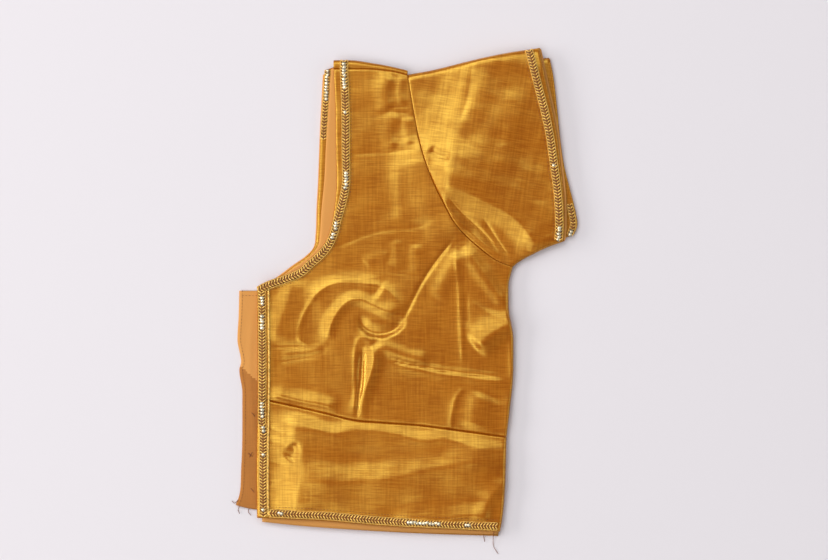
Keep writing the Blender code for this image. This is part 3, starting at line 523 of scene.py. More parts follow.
class BlouseStageSettings(PropertyGroup):
    """Floor, camera and lights."""
    floor: hex_property("Floor", "Plain pale floor", "E4DFE3")
    view_width: length_property("View width", "Width that the camera sees at the floor", 679.0)
    brightness: FloatProperty(name="Light", description="Scale of every lamp's radiance", default=1.0,
                              min=0.0)


def silk_tissue(cloth):
    """Silk tissue: orange silk warp crossed by flat gold metal thread, woven close and pressed.

    The silk gives the deep amber of the flat cloth and the metal thread a yellow sheen that lights up on
    every slope, in streaks, since some threads show more metal. Real threads are about 0.15 mm apart. They
    are drawn several times coarser so that they show.
    """
    material, tree, shader = new_material("gold_silk_tissue", Metallic=0.0, Roughness=cloth.gloss, IOR=3.2)
    grain = add_node(tree, "ShaderNodeUVMap", uv_map="grain").outputs["UV"]
    weft = thread_streaks(tree, grain, "X", cloth.weft_pitch, 1.0)
    warp = thread_streaks(tree, grain, "Y", cloth.warp_pitch, 5.0)
    woven = add_node(tree, "ShaderNodeMix", {"Factor": 0.4}, {"A": weft, "B": warp}).outputs["Result"]
    clouds = add_node(tree, "ShaderNodeTexNoise", {"Scale": 34.0, "Detail": 2.0},
                      {"Vector": grain}).outputs["Fac"]
    tone = add_node(tree, "ShaderNodeMix", {"Factor": 0.2}, {"A": woven, "B": clouds}).outputs["Result"]
    silk = add_node(tree, "ShaderNodeValToRGB", links={"Fac": tone})
    silk.color_ramp.elements[0].position = 0.38
    silk.color_ramp.elements[0].color = cloth.silk_deep
    silk.color_ramp.elements[1].position = 0.62
    silk.color_ramp.elements[1].color = cloth.silk_light
    metal = add_node(tree, "ShaderNodeValToRGB", links={"Fac": woven})
    metal.color_ramp.elements[0].position = 0.4
    metal.color_ramp.elements[0].color = [channel * 0.66 for channel in cloth.sheen[:3]] + [1.0]
    metal.color_ramp.elements[1].position = 0.62
    metal.color_ramp.elements[1].color = cloth.sheen
    tree.links.new(silk.outputs["Color"], shader.inputs["Base Color"])
    tree.links.new(metal.outputs["Color"], shader.inputs["Specular Tint"])
    bump = add_node(tree, "ShaderNodeBump", {"Strength": 0.25, "Distance": 0.0003}, {"Height": woven})
    tree.links.new(bump.outputs["Normal"], shader.inputs["Normal"])
    return material


def cotton_lining(cloth, name, color):
    """Plain-woven orange cotton, washed and pressed: matt, with a faint even weave and a few slubs."""
    material, tree, shader = new_material(name, Roughness=0.88, Sheen_Weight=0.15)
    grain = add_node(tree, "ShaderNodeUVMap", uv_map="grain").outputs["UV"]
    weft = thread_streaks(tree, grain, "X", 1.1 * MM, 2.0)
    warp = thread_streaks(tree, grain, "Y", 1.3 * MM, 9.0)
    woven = add_node(tree, "ShaderNodeMix", {"Factor": 0.5}, {"A": weft, "B": warp}).outputs["Result"]
    clouds = add_node(tree, "ShaderNodeTexNoise", {"Scale": 40.0, "Detail": 3.0},
                      {"Vector": grain}).outputs["Fac"]
    tone = add_node(tree, "ShaderNodeMix", {"Factor": 0.4}, {"A": woven, "B": clouds}).outputs["Result"]
    ramp = add_node(tree, "ShaderNodeValToRGB", links={"Fac": tone})
    ramp.color_ramp.elements[0].position = 0.25
    ramp.color_ramp.elements[0].color = [channel * 0.8 for channel in color[:3]] + [1.0]
    ramp.color_ramp.elements[1].position = 0.6
    ramp.color_ramp.elements[1].color = color
    tree.links.new(ramp.outputs["Color"], shader.inputs["Base Color"])
    bump = add_node(tree, "ShaderNodeBump", {"Strength": 0.4, "Distance": 0.0003}, {"Height": woven})
    tree.links.new(bump.outputs["Normal"], shader.inputs["Normal"])
    return material


def zari_plait(trim):
    """Zari: gilt metal strip wound on thread and plaited, so strands go from bright gold to bronze."""
    material, tree, shader = new_material("zari_plait", Metallic=0.3, Roughness=0.3)
    shade = add_node(tree, "ShaderNodeAttribute", attribute_name="shade").outputs["Fac"]
    ramp = add_node(tree, "ShaderNodeValToRGB", links={"Fac": shade})
    ramp.color_ramp.elements[0].position = 0.0
    ramp.color_ramp.elements[0].color = [(a + b) / 2.0 for a, b in zip(trim.bronze, trim.gold)]
    ramp.color_ramp.elements[1].position = 0.7
    ramp.color_ramp.elements[1].color = trim.gold
    tree.links.new(ramp.outputs["Color"], shader.inputs["Base Color"])
    return material


def zari_ground(trim):
    """Woven ground of the braid in its own brown, kept dark, with speckles down to half as bright, as painted
    shade where it shows between the plaited strands.
    """
    material, tree, shader = new_material("zari_ground", Metallic=0.1, Roughness=0.7)
    place = add_node(tree, "ShaderNodeTexCoord").outputs["Object"]
    speckle = add_node(tree, "ShaderNodeTexNoise", {"Scale": 900.0, "Detail": 2.0},
                       {"Vector": place}).outputs["Fac"]
    # painted shade: the ramp keeps the ground well below the strands' gold, for the shade between them
    ramp = add_node(tree, "ShaderNodeValToRGB", links={"Fac": speckle})
    ramp.color_ramp.elements[0].position = 0.35
    ramp.color_ramp.elements[0].color = [channel * 0.5 for channel in trim.bronze[:3]] + [1.0]
    ramp.color_ramp.elements[1].position = 0.7
    ramp.color_ramp.elements[1].color = trim.bronze
    tree.links.new(ramp.outputs["Color"], shader.inputs["Base Color"])
    return material


def zari_cord(trim):
    """Twisted gilt cord along the braid's edges: bright gold that darkens in the grooves of the twist."""
    material, tree, shader = new_material("zari_cord", Metallic=0.3, Roughness=0.4)
    shade = add_node(tree, "ShaderNodeAttribute", attribute_name="shade").outputs["Fac"]
    ramp = add_node(tree, "ShaderNodeValToRGB", links={"Fac": shade})
    ramp.color_ramp.elements[0].position = 0.0
    ramp.color_ramp.elements[0].color = [channel * 0.6 for channel in trim.gold[:3]] + [1.0]
    ramp.color_ramp.elements[1].position = 0.6
    ramp.color_ramp.elements[1].color = trim.gold
    tree.links.new(ramp.outputs["Color"], shader.inputs["Base Color"])
    return material


def sequin_foil(trim):
    """Sequins of pale gold foil on plastic: near mirrors that flash white at some tilts."""
    material, tree, shader = new_material("sequin_foil", Metallic=0.8, Roughness=0.3)
    shade = add_node(tree, "ShaderNodeAttribute", attribute_name="shade").outputs["Fac"]
    ramp = add_node(tree, "ShaderNodeValToRGB", links={"Fac": shade})
    ramp.color_ramp.elements[0].color = [channel * 0.6 for channel in trim.foil[:3]] + [1.0]
    ramp.color_ramp.elements[1].color = trim.foil
    tree.links.new(ramp.outputs["Color"], shader.inputs["Base Color"])
    return material


def sewing_thread(trim):
    """Mercerised brown cotton thread: a soft lustre on small raised stitches."""
    material, tree, shader = new_material("sewing_thread", Roughness=0.55)
    shade = add_node(tree, "ShaderNodeAttribute", attribute_name="shade").outputs["Fac"]
    ramp = add_node(tree, "ShaderNodeValToRGB", links={"Fac": shade})
    ramp.color_ramp.elements[0].color = trim.thread
    ramp.color_ramp.elements[1].color = [min(1.0, channel * 2.2) for channel in trim.thread[:3]] + [1.0]
    tree.links.new(ramp.outputs["Color"], shader.inputs["Base Color"])
    return material


def floor_sheet(stage):
    """White cotton sheet of the stage, matt and pale."""
    material, tree, shader = new_material("pale_floor", Roughness=0.9)
    shader.inputs["Base Color"].default_value = stage.floor
    return material


# ---------------------------------------------------------------- cloth

def new_piece(name, mesh, *materials):
    """Object at the origin for a finished mesh."""
    piece = bpy.data.objects.new(name, mesh)
    bpy.context.scene.collection.objects.link(piece)
    for material in materials:
        mesh.materials.append(bpy.data.materials[material])
    return piece


def cloth_sheet(name, points, outer, inner, grain=0.0, tube=False):
    """Sheet of cloth from a grid of points in millimetres, outer side up, with its wall below that side.

    A tube's rows run right round it. The grain turns the weave by that many degrees.
    """
    rows, columns = points.shape[:2]
    index = np.arange(rows * columns).reshape(rows, columns)
    if tube:
        index = np.concatenate((index, index[:1]))
    quads = np.stack((index[:-1, :-1], index[:-1, 1:], index[1:, 1:], index[1:, :-1]), axis=-1).reshape(-1, 4)
    mesh = bpy.data.meshes.new(name)
    mesh.from_pydata((points.reshape(-1, 3) * MM).tolist(), [], quads.tolist())
    mesh.polygons.foreach_set("use_smooth", np.ones(len(mesh.polygons), bool))
    turn = math.radians(grain)
    plan = points.reshape(-1, 3)[:, :2] * MM
    weave = np.stack((plan[:, 0] * math.cos(turn) + plan[:, 1] * math.sin(turn),
                      plan[:, 1] * math.cos(turn) - plan[:, 0] * math.sin(turn)), axis=1)
    mesh.uv_layers.new(name="grain").uv.foreach_set("vector", weave[quads.ravel()].astype(np.float32).ravel())
    piece = new_piece(name, mesh, outer, inner)
    wall = piece.modifiers.new("cloth wall", "SOLIDIFY")
    wall.thickness = bpy.context.scene.blouse_cloth.wall
    wall.offset = -1.0
    wall.use_even_offset = not tube
    wall.material_offset = 1
    finish_modifiers(piece)
    return piece


def finish_modifiers(piece):
    """Put the piece's evaluated form in its mesh and take its modifiers off."""
    graph = bpy.context.evaluated_depsgraph_get()
    mesh = bpy.data.meshes.new_from_object(piece.evaluated_get(graph))
    piece.modifiers.clear()
    piece.data = mesh
    mesh.name = piece.name


def stacked(grid, height):
    """Grid of plan points with heights in millimetres."""
    return np.concatenate((grid, np.broadcast_to(height, grid.shape[:2])[..., None]), axis=2)


def cut_of(points, turnings):
    """Flat size of the cut, in metres, and its area, from a grid in millimetres and its turnings."""
    across, up = points[:, 1:] - points[:, :-1], points[1:] - points[:-1]
    area = np.linalg.norm(np.cross(across[:-1], up[:, :-1]), axis=2).sum()
    plan = points[..., :2].reshape(-1, 2)
    width, length = plan.max(axis=0) - plan.min(axis=0) + 2.0 * turnings
    rim = sum(np.linalg.norm(np.diff(line, axis=0), axis=1).sum()
              for line in (points[0], points[-1], points[:, 0], points[:, -1]))
    return (float(width * MM), float(length * MM)), float((area + rim * turnings) * MM * MM)


def declare(piece, points, nodes, round_tube=False, turnings=TURNINGS):
    """Ride, replaced nodes and the flat cut of a cloth piece."""
    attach(piece, "root")
    if nodes:
        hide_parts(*nodes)
    (width, length), area = cut_of(points, turnings)
    if round_tube:
        length, area = 2.0 * length, 2.0 * area


def top_height(x, y, swells, creases, seed):
    """Height of the top cloth's outer side before its edges are turned."""
    return (stack_height(x) + TOP_CLOTH + swell_height(swells, x, y) + crease_height(creases, x, y)
            + ripple(x, y, 42.0, 0.28, seed) + ripple(x, y, 20.0, 0.14, seed + 1)
            + ripple(x * 0.6, y * 1.5, 9.0, 0.03, seed + 2))


def seam_lift(seam, swells, creases, seed):
    """How much higher the bodice is than its neighbour along their seam."""
    x, y = seam[:, 0], seam[:, 1]
    return top_height(x, y, BODICE_SWELLS, BODICE_CREASES, 3) - top_height(x, y, swells, creases, seed)


def bodice_points():
    """Left front over the bust, from the waist seam to the shoulder seam."""
    left = joined(upright(FRONT_EDGE, 75, low=WAIST_SEAM[0, 1]), upright(NECKLINE, 150))
    right = joined(upright(SIDE_SEAM, 75, low=WAIST_SEAM[-1, 1]), upright(ARMHOLE, 150))
    grid = patch(left, right, WAIST_SEAM, SHOULDER_SEAM, 150)
    x, y = grid[..., 0], grid[..., 1]
    z = (top_height(x, y, BODICE_SWELLS, BODICE_CREASES, 3)
         + rolled(row_distance(grid, 0), 1.0, 1.6) + rolled(column_distance(grid, 0), 0.5, 1.2)
         + rolled(column_distance(grid, -1), 0.5, 1.6)
         + rolled(row_distance(grid, -1), 0.8, 1.5) * np.where(y > ARMPIT_Y, 1.0, 2.2))
    return stacked(grid, z)


def waistband_points():
    """Left front below the waist seam."""
    left = upright(FRONT_EDGE, 78, high=WAIST_SEAM[0, 1] - 0.2)
    right = upright(SIDE_SEAM, 78, high=WAIST_SEAM[-1, 1] - 0.2)
    grid = patch(left, right, HEM, WAIST_SEAM, 150)
    x, y = grid[..., 0], grid[..., 1]
    lift = seam_lift(grid[-1], WAISTBAND_SWELLS, WAISTBAND_CREASES, 5)[None, :]
    z = (top_height(x, y, WAISTBAND_SWELLS, WAISTBAND_CREASES, 5)
         + lift * np.exp(-(column_distance(grid, -1) / SEAM_REACH) ** 2)
         + rolled(row_distance(grid, 0), 1.0, 2.0) + rolled(row_distance(grid, -1), 2.0, 3.0)
         + rolled(column_distance(grid, 0), 1.0, 1.8) + rolled(column_distance(grid, -1), 0.5, 1.4))
    return stacked(grid, z)


def shoulder_points():
    """Top of the left back, which rolls over at the shoulder."""
    part = np.linspace(0.0, 1.0, 61)
    lift = np.linspace(0.0, 1.0, 9)[:, None, None]
    grid = level(SHOULDER_SEAM, part)[None] * (1.0 - lift) + level(SHOULDER_FOLD, part)[None] * lift
    roll = rolled(column_distance(grid, -1), 3.0, 3.5) + rolled(column_distance(grid, 0), 0.7, 2.0)
    z = STACK + TOP_CLOTH + roll
    return stacked(grid, z)


def sleeve_points():
    """Near sleeve as a flattened tube: its upper half from the underarm seam up, then its under half back."""
    left = upright(ARMHOLE, 130)
    upper = patch(left, upright(SLEEVE_MOUTH, 130), UNDERARM, SLEEVE_TOP, 95)
    x, y = upper[..., 0], upper[..., 1]
    lift = seam_lift(left, SLEEVE_SWELLS, SLEEVE_CREASES, 8)[:, None]
    z = (top_height(x, y, SLEEVE_SWELLS, SLEEVE_CREASES, 8)
         + lift * np.exp(-(row_distance(upper, 0) / SEAM_REACH) ** 2)
         + rolled(row_distance(upper, 0), 0.3, 0.9) + rolled(row_distance(upper, -1), 0.8, 1.6)
         + rolled(column_distance(upper, 0), 2.2, 4.0) + rolled(column_distance(upper, -1), 2.7, 5.5))
    under_mouth = upright(SLEEVE_MOUTH, 130) + np.array((2.0, 0.0))
    under = patch(left, under_mouth, UNDERARM, SLEEVE_TOP, 95)
    low = 4.2 - rolled(column_distance(under, 0), 1.4, 3.0) - rolled(column_distance(under, -1), 1.4, 3.0)
    return stacked(upper, z), stacked(under, low)


def far_sleeve_points():
    """Far sleeve, the same flattened tube, flat on the surface."""
    left = upright(ARMHOLE, 60)
    upper = patch(left, upright(FAR_MOUTH, 60), FAR_UNDERARM, FAR_TOP, 44)
    upper[0] += np.array((0.0, 0.8))
    upper[-1] -= np.array((0.0, 0.8))
    x, y = upper[..., 0], upper[..., 1]
    z = (3.3 + ripple(x, y, 30.0, 0.12, 12) + rolled(column_distance(upper, 0), 1.3, 2.5)
         + rolled(column_distance(upper, -1), 1.3, 2.5))
    low = REST_Z - rolled(column_distance(upper, 0), 1.3, 2.5) - rolled(column_distance(upper, -1), 1.3, 2.5)
    return stacked(upper, z), stacked(upper, low)


def tube_of(upper, under):
    """Rows right round a flattened tube, its fold rows shared by both halves."""
    fold_low = (upper[:1] + under[:1]) / 2.0
    fold_top = (upper[-1:] + under[-1:]) / 2.0
    return np.concatenate((fold_low, upper[1:-1], fold_top, under[-2:0:-1]))


def layer_points(neck, hem, hem_shift, top, inset, seed):
    """Layer under the top cloth, with its neckline at the left and the side seam and armhole at the right."""
    left = joined(upright(np.array((hem[0], neck[0])), 60), upright(neck, 90))
    right = joined(upright(SIDE_SEAM, 60, low=hem[-1, 1] + hem_shift), upright(ARMHOLE, 90))
    right = right - np.array((inset, 0.0))
    grid = patch(left, right, hem + np.array((0.0, hem_shift)), BACK_SHOULDER, 70)
    x, y = grid[..., 0], grid[..., 1]
    z = (top - 0.7 * (STACK - stack_height(x)) * top / STACK + ripple(x, y, 36.0, 0.1, seed)
         + rolled(row_distance(grid, 0), 0.4, 1.2) + rolled(column_distance(grid, 0), 0.4, 1.4)
         + rolled(row_distance(grid, -1), 0.4, 1.4))
    return stacked(grid, np.maximum(z, WALL + REST_Z))


def underlap_points():
    """Underlap for the hooks, beside the front edge."""
    left = upright(UNDERLAP_EDGE, 110)
    right = np.stack((np.full(111, UNDERLAP_FOOT[-1, 0]),
                      np.linspace(UNDERLAP_FOOT[-1, 1], 1.5, 111)), axis=1)
    flat = np.array(((0.0, 0.0), (1.0, 0.0)))
    grid = patch(left, right, UNDERLAP_FOOT, flat, 16)
    x, y = grid[..., 0], grid[..., 1]
    z = (1.5 + ripple(x, y, 26.0, 0.14, 21) + crease_height(UNDERLAP_CREASES, x, y)
         + rolled(row_distance(grid, 0), 0.5, 1.2) + rolled(column_distance(grid, -1), 0.4, 1.0))
    return stacked(grid, np.maximum(z, WALL + REST_Z))


# ---------------------------------------------------------------- trims

def surface_of(*names):
    """Search tree of the top cloth's pieces, for laying trims on them."""
    corners, faces = [], []
    for name in names:
        mesh = bpy.data.objects[name].data
        offset = len(corners)
        corners += [vertex.co.copy() for vertex in mesh.vertices]
        faces += [[offset + vertex for vertex in face.vertices] for face in mesh.polygons]
    return BVHTree.FromPolygons(corners, faces)


def laid_on(surface, line, lift, smooth=4):
    """Line of plan points in millimetres laid on the cloth, that much above it."""
    heights = []
    for x, y in line:
        hit = surface.ray_cast(Vector((x * MM, y * MM, 0.05)), Vector((0.0, 0.0, -1.0)))[0]
        heights.append(hit.z / MM if hit else heights[-1] if heights else STACK)
    padded = np.pad(np.array(heights), smooth, mode="edge")
    window = np.ones(2 * smooth + 1) / (2 * smooth + 1)
    return np.column_stack((line, np.convolve(padded, window, mode="valid") + lift))


def beside(line, distances):
    """Line moved to the right of its direction of travel by a distance at each point."""
    travel = np.gradient(line, axis=0)
    travel /= np.linalg.norm(travel, axis=1)[:, None]
    return line + np.asarray(distances)[..., None] * np.stack((travel[:, 1], -travel[:, 0]), axis=1)


def strip_widths(strips, line):
    """Width of a strip of silk at each point of an edge, plus half the braid."""
    rows = np.array(strips)
    return np.interp(line[:, 1], rows[:, 0], rows[:, 1]) + BRAID_WIDTH / 2.0


def path_mesh(name, lines, masks=None):
    """Mesh of lines in millimetres, for Geometry Nodes to follow, with a mask on its points."""
    points = np.concatenate(lines) * MM
    links, start = [], 0
    for line in lines:
        links += [(start + place, start + place + 1) for place in range(len(line) - 1)]
        start += len(line)
    mesh = bpy.data.meshes.new(name)
    mesh.from_pydata(points.tolist(), links, [])
    if masks is not None:
        mask = mesh.attributes.new("sewn", "FLOAT", "POINT")
        mask.data.foreach_set("value", np.concatenate(masks).astype(np.float32))
    return mesh


def follow_tree(name):
    """Geometry Nodes tree with a geometry socket each way."""
    tree = bpy.data.node_groups.new(name, "GeometryNodeTree")
    tree.interface.new_socket("Geometry", in_out="INPUT", socket_type="NodeSocketGeometry")
    tree.interface.new_socket("Geometry", in_out="OUTPUT", socket_type="NodeSocketGeometry")
    return tree


def tree_inputs(tree, **kinds):
    """Named inputs of a tree: each keyword is an input's name with its kind."""
    for name, kind in kinds.items():
        tree.interface.new_socket(name.replace("_", " "), in_out="INPUT", socket_type=f"NodeSocket{kind}")
    return add_node(tree, "NodeGroupInput")


def end_tree(tree, geometry, given):
    """Last nodes of a tree: smooth faces, real instances, the material and the output."""
    smooth = add_node(tree, "GeometryNodeSetShadeSmooth", links={"Geometry": geometry})
    real = add_node(tree, "GeometryNodeRealizeInstances", links={"Geometry": smooth.outputs["Geometry"]})
    dressed = add_node(tree, "GeometryNodeSetMaterial", links={"Geometry": real.outputs["Geometry"],
                                                               "Material": given.outputs["Material"]})
    add_node(tree, "NodeGroupOutput", links={"Geometry": dressed.outputs["Geometry"]})
    return tree


def along_path(tree, given, spacing):
    """Points along the path at even spacing, and the rotation that turns +X along it."""
    curve = add_node(tree, "GeometryNodeMeshToCurve", links={"Mesh": given.outputs["Geometry"]})
    even = add_node(tree, "GeometryNodeResampleCurve", mode="LENGTH",
                    links={"Curve": curve.outputs["Curve"], "Length": given.outputs[spacing]})
    tangent = add_node(tree, "GeometryNodeInputTangent")
    turn = add_node(tree, "FunctionNodeAlignRotationToVector", axis="X", pivot_axis="Z",
                    links={"Vector": tangent.outputs["Tangent"]})
    return even.outputs["Curve"], turn.outputs["Rotation"]


def shaded_instances(tree, given, points, shape, turn, **links):
    """The shape on each point, each with a random shade from the seed."""
    placed = add_node(tree, "GeometryNodeInstanceOnPoints", links={"Points": points, "Instance": shape,
                                                                   "Rotation": turn, **links})
    chance = add_node(tree, "FunctionNodeRandomValue", data_type="FLOAT")
    tree.links.new(given.outputs["Seed"], chance.inputs["Seed"])
    stored = add_node(tree, "GeometryNodeStoreNamedAttribute", {"Name": "shade"}, data_type="FLOAT",
                      domain="INSTANCE", links={"Geometry": placed.outputs["Instances"],
                                                "Value": chance.outputs[1]})
    return stored.outputs["Geometry"]


def scaled(tree, socket, factor):
    """Socket's value times a factor."""
    return add_node(tree, "ShaderNodeMath", {1: factor}, {0: socket}, operation="MULTIPLY").outputs["Value"]


def plait_tree():
    """Herringbone plait: two slanted strands at each step along the path, on a flat woven ground."""
    tree = follow_tree("zari_plait")
    given = tree_inputs(tree, Pitch="Float", Width="Float", Seed="Int", Material="Material")
    points, turn = along_path(tree, given, "Pitch")
    bead = add_node(tree, "GeometryNodeMeshUVSphere", {"Segments": 8, "Rings": 5, "Radius": 0.5})
    size = add_node(tree, "ShaderNodeCombineXYZ", links={"X": scaled(tree, given.outputs["Width"], 0.6),
                                                         "Y": scaled(tree, given.outputs["Pitch"], 0.46),
                                                         "Z": scaled(tree, given.outputs["Pitch"], 0.45)})
    strands = add_node(tree, "GeometryNodeJoinGeometry")
    for side in (1.0, -1.0):
        offset = add_node(tree, "ShaderNodeCombineXYZ",
                          links={"Y": scaled(tree, given.outputs["Width"], 0.24 * side)})
        strand = add_node(tree, "GeometryNodeTransform", {"Rotation": (0.0, 0.0, side * math.radians(54.0))},
                          {"Geometry": bead.outputs["Mesh"], "Translation": offset.outputs["Vector"],
                           "Scale": size.outputs["Vector"]})
        tree.links.new(shaded_instances(tree, given, points, strand.outputs["Geometry"], turn),
                       strands.inputs["Geometry"])
    return end_tree(tree, strands.outputs["Geometry"], given)


def ground_tree():
    """Flat ground of a braid: a thin ribbon along the path."""
    tree = follow_tree("zari_ground")
    given = tree_inputs(tree, Pitch="Float", Width="Float", Height="Float", Material="Material")
    curve, _ = along_path(tree, given, "Pitch")
    level_curve = add_node(tree, "GeometryNodeSetCurveNormal", mode="Z_UP", links={"Curve": curve})
    profile = add_node(tree, "GeometryNodeCurvePrimitiveQuadrilateral",
                       links={"Width": given.outputs["Width"], "Height": given.outputs["Height"]})
    ribbon = add_node(tree, "GeometryNodeCurveToMesh", {"Fill Caps": True},
                      {"Curve": level_curve.outputs["Curve"], "Profile Curve": profile.outputs["Curve"]})
    return end_tree(tree, ribbon.outputs["Mesh"], given)


def cord_tree():
    """Twisted cord: slanted beads one after another along each path, like the plies of a cord."""
    tree = follow_tree("twisted_cord")
    given = tree_inputs(tree, Pitch="Float", Width="Float", Seed="Int", Material="Material")
    points, turn = along_path(tree, given, "Pitch")
    bead = add_node(tree, "GeometryNodeMeshUVSphere", {"Segments": 6, "Rings": 4, "Radius": 0.5})
    size = add_node(tree, "ShaderNodeCombineXYZ", links={
        "X": scaled(tree, given.outputs["Pitch"], 1.9),
        "Y": given.outputs["Width"],
        "Z": given.outputs["Width"]})
    ply = add_node(tree, "GeometryNodeTransform", {"Rotation": (0.0, 0.0, math.radians(28.0))},
                   {"Geometry": bead.outputs["Mesh"], "Scale": size.outputs["Vector"]})
    return end_tree(tree, shaded_instances(tree, given, points, ply.outputs["Geometry"], turn), given)


def sequin_tree():
    """Overlapping sequins, each tilted its own way, where the path is marked as sewn."""
    tree = follow_tree("foil_sequins")
    given = tree_inputs(tree, Pitch="Float", Width="Float", Tilt="Float", Seed="Int", Material="Material")
    points, turn = along_path(tree, given, "Pitch")
    disc = add_node(tree, "GeometryNodeMeshCylinder", {"Vertices": 9, "Depth": 0.00016},
                    {"Radius": scaled(tree, given.outputs["Width"], 0.5)})
    sewn = add_node(tree, "GeometryNodeInputNamedAttribute", {"Name": "sewn"}, data_type="FLOAT")
    chosen = add_node(tree, "ShaderNodeMath", {1: 0.5}, {0: sewn.outputs["Attribute"]},
                      operation="GREATER_THAN")
    lean = add_node(tree, "FunctionNodeRandomValue", data_type="FLOAT_VECTOR")
    low = add_node(tree, "ShaderNodeCombineXYZ", links={"X": scaled(tree, given.outputs["Tilt"], -1.0),
                                                        "Y": scaled(tree, given.outputs["Tilt"], -1.0)})
    high = add_node(tree, "ShaderNodeCombineXYZ", links={"X": given.outputs["Tilt"],
                                                         "Y": given.outputs["Tilt"]})
    tree.links.new(low.outputs["Vector"], lean.inputs[0])
    tree.links.new(high.outputs["Vector"], lean.inputs[1])
    tree.links.new(given.outputs["Seed"], lean.inputs["Seed"])
    tilt = add_node(tree, "FunctionNodeEulerToRotation", links={"Euler": lean.outputs[0]})
    leaning = add_node(tree, "FunctionNodeRotateRotation", rotation_space="LOCAL",
                       links={"Rotation": turn, "Rotate By": tilt.outputs["Rotation"]})
    placed = shaded_instances(tree, given, points, disc.outputs["Mesh"], leaning.outputs["Rotation"],
                              Selection=chosen.outputs["Value"])
    return end_tree(tree, placed, given)


def stitch_tree():
    """Running stitches: a short thread at each step along each path."""
    tree = follow_tree("running_stitch")
    given = tree_inputs(tree, Pitch="Float", Width="Float", Seed="Int", Material="Material")
    points, turn = along_path(tree, given, "Pitch")
    bead = add_node(tree, "GeometryNodeMeshUVSphere", {"Segments": 6, "Rings": 4, "Radius": 0.5})
    size = add_node(tree, "ShaderNodeCombineXYZ", links={
        "X": scaled(tree, given.outputs["Pitch"], 0.72),
        "Y": given.outputs["Width"],
        "Z": given.outputs["Width"]})
    thread = add_node(tree, "GeometryNodeTransform", links={"Geometry": bead.outputs["Mesh"],
                                                            "Scale": size.outputs["Vector"]})
    return end_tree(tree, shaded_instances(tree, given, points, thread.outputs["Geometry"], turn), given)


def grown(name, path, tree, slot, nodes=(), **values):
    """Piece made by a Geometry Nodes tree along a path, turned into a plain mesh."""
    piece = new_piece(name, path)
    grower = piece.modifiers.new(tree.name, "NODES")
    grower.node_group = tree
    for socket in tree.interface.items_tree:
        key = socket.name.replace(" ", "_")
        if socket.in_out == "INPUT" and key in values:
            grower[socket.identifier] = values[key]
    finish_modifiers(piece)
    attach(piece, "root")
    if nodes:
        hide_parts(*nodes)
    return piece


def braid_lines():
    """Middle line of each braid in the plan, in millimetres."""
    front = upright(FRONT_EDGE, 190, low=-182.0, high=0.5)
    front = beside(front, strip_widths(FRONT_STRIP, front))
    neck = spaced(np.concatenate((upright(NECKLINE, 240), SHOULDER_FOLD[:1] - np.array((0.0, 1.0)))), 250)
    neck = beside(neck, strip_widths(NECK_STRIP, neck))
    hem = level(HEM, np.linspace(0.055, 0.985, 190))
    hem = hem + np.array((0.0, HEM_STRIP + BRAID_WIDTH / 2.0))
    mouth = upright(SLEEVE_MOUTH, 170)[1:-1]
    mouth = beside(mouth, -strip_widths(MOUTH_STRIP, mouth))
    low, high = BACK_NECK_BRAID_REACH
    back = (upright(RIGHT_BACK_NECK, 60, low=low, high=high)
            + upright(LEFT_BACK_NECK, 60, low=low, high=high)) / 2.0
    far = upright(FAR_MOUTH, 40, low=47.5, high=72.0) - np.array((3.6, 0.0))
    return {"front_edge_braid": front, "neck_braid": neck, "hem_braid": hem, "sleeve_braid": mouth,
            "back_neck_braid": back, "far_sleeve_braid": far}


def sewn_mask(name, line):
    """Marks the points of a braid that lie in its sequin stretches."""
    reading = line[:, 0] if name == "hem_braid" else line[:, 1]
    return np.any([(reading >= part.start) & (reading <= part.end) for part in SEQUINS[name]], axis=0)


# ---------------------------------------------------------------- operators

class BLOUSE_OT_stage(Operator):
    """Floor, camera, lamps and the finishes"""
    bl_idname = "blouse.make_stage"
    bl_label = "Stage and finishes"

    def execute(self, context):
        scene = context.scene
        stage, cloth, trim = scene.blouse_stage, scene.blouse_cloth, scene.blouse_trim
        silk_tissue(cloth)
        cotton_lining(cloth, "cotton_lining", cloth.lining)
        cotton_lining(cloth, "cotton_facing", cloth.facing)
        for finish in (zari_plait, zari_ground, zari_cord, sequin_foil, sewing_thread):
            finish(trim)
        floor_sheet(stage)
        half, below = 1.2, -0.0004
        mesh = bpy.data.meshes.new("floor")
        corners = ((-half, -half), (half, -half), (half, half), (-half, half))
        mesh.from_pydata([(x, y, below) for x, y in corners], [], [(0, 1, 2, 3)])
        new_piece("floor", mesh, "pale_floor")
        make_camera(scene, stage)
        make_lamps(scene, stage)
        return {"FINISHED"}


def make_camera(scene, stage):
    """Camera straight above the blouse."""
    camera = bpy.data.cameras.new("camera")
    camera.lens = 85.0
    camera.sensor_width = 36.0
    view = bpy.data.objects.new("camera", camera)
    view.location = (0.0062, 0.0103, stage.view_width * camera.lens / camera.sensor_width)
    scene.collection.objects.link(view)
    scene.camera = view


def make_lamps(scene, stage):
    """Dim white surroundings and the soft boxes."""
    world = bpy.data.worlds.new("studio")
    world.use_nodes = True
    background = world.node_tree.nodes["Background"]
    background.inputs["Color"].default_value = (1.0, 0.98, 1.0, 1.0)
    background.inputs["Strength"].default_value = 0.13 * stage.brightness
    scene.world = world
    scene.view_settings.view_transform = "Standard"
    for light in LIGHTS:
        turn, lean = math.radians(light.azimuth), math.radians(light.from_zenith)
        place = light.distance * Vector((math.sin(lean) * math.cos(turn), math.sin(lean) * math.sin(turn),
                                         math.cos(lean)))
        data = bpy.data.lights.new(light.name, "AREA")
        data.shape = "RECTANGLE"
        data.size, data.size_y = light.wide, light.tall
        data.energy = light.radiance * stage.brightness * math.pi * light.wide * light.tall
        lamp = bpy.data.objects.new(light.name, data)
        lamp.location = place
        lamp.rotation_euler = (-place).to_track_quat("-Z", "Y").to_euler()
        scene.collection.objects.link(lamp)


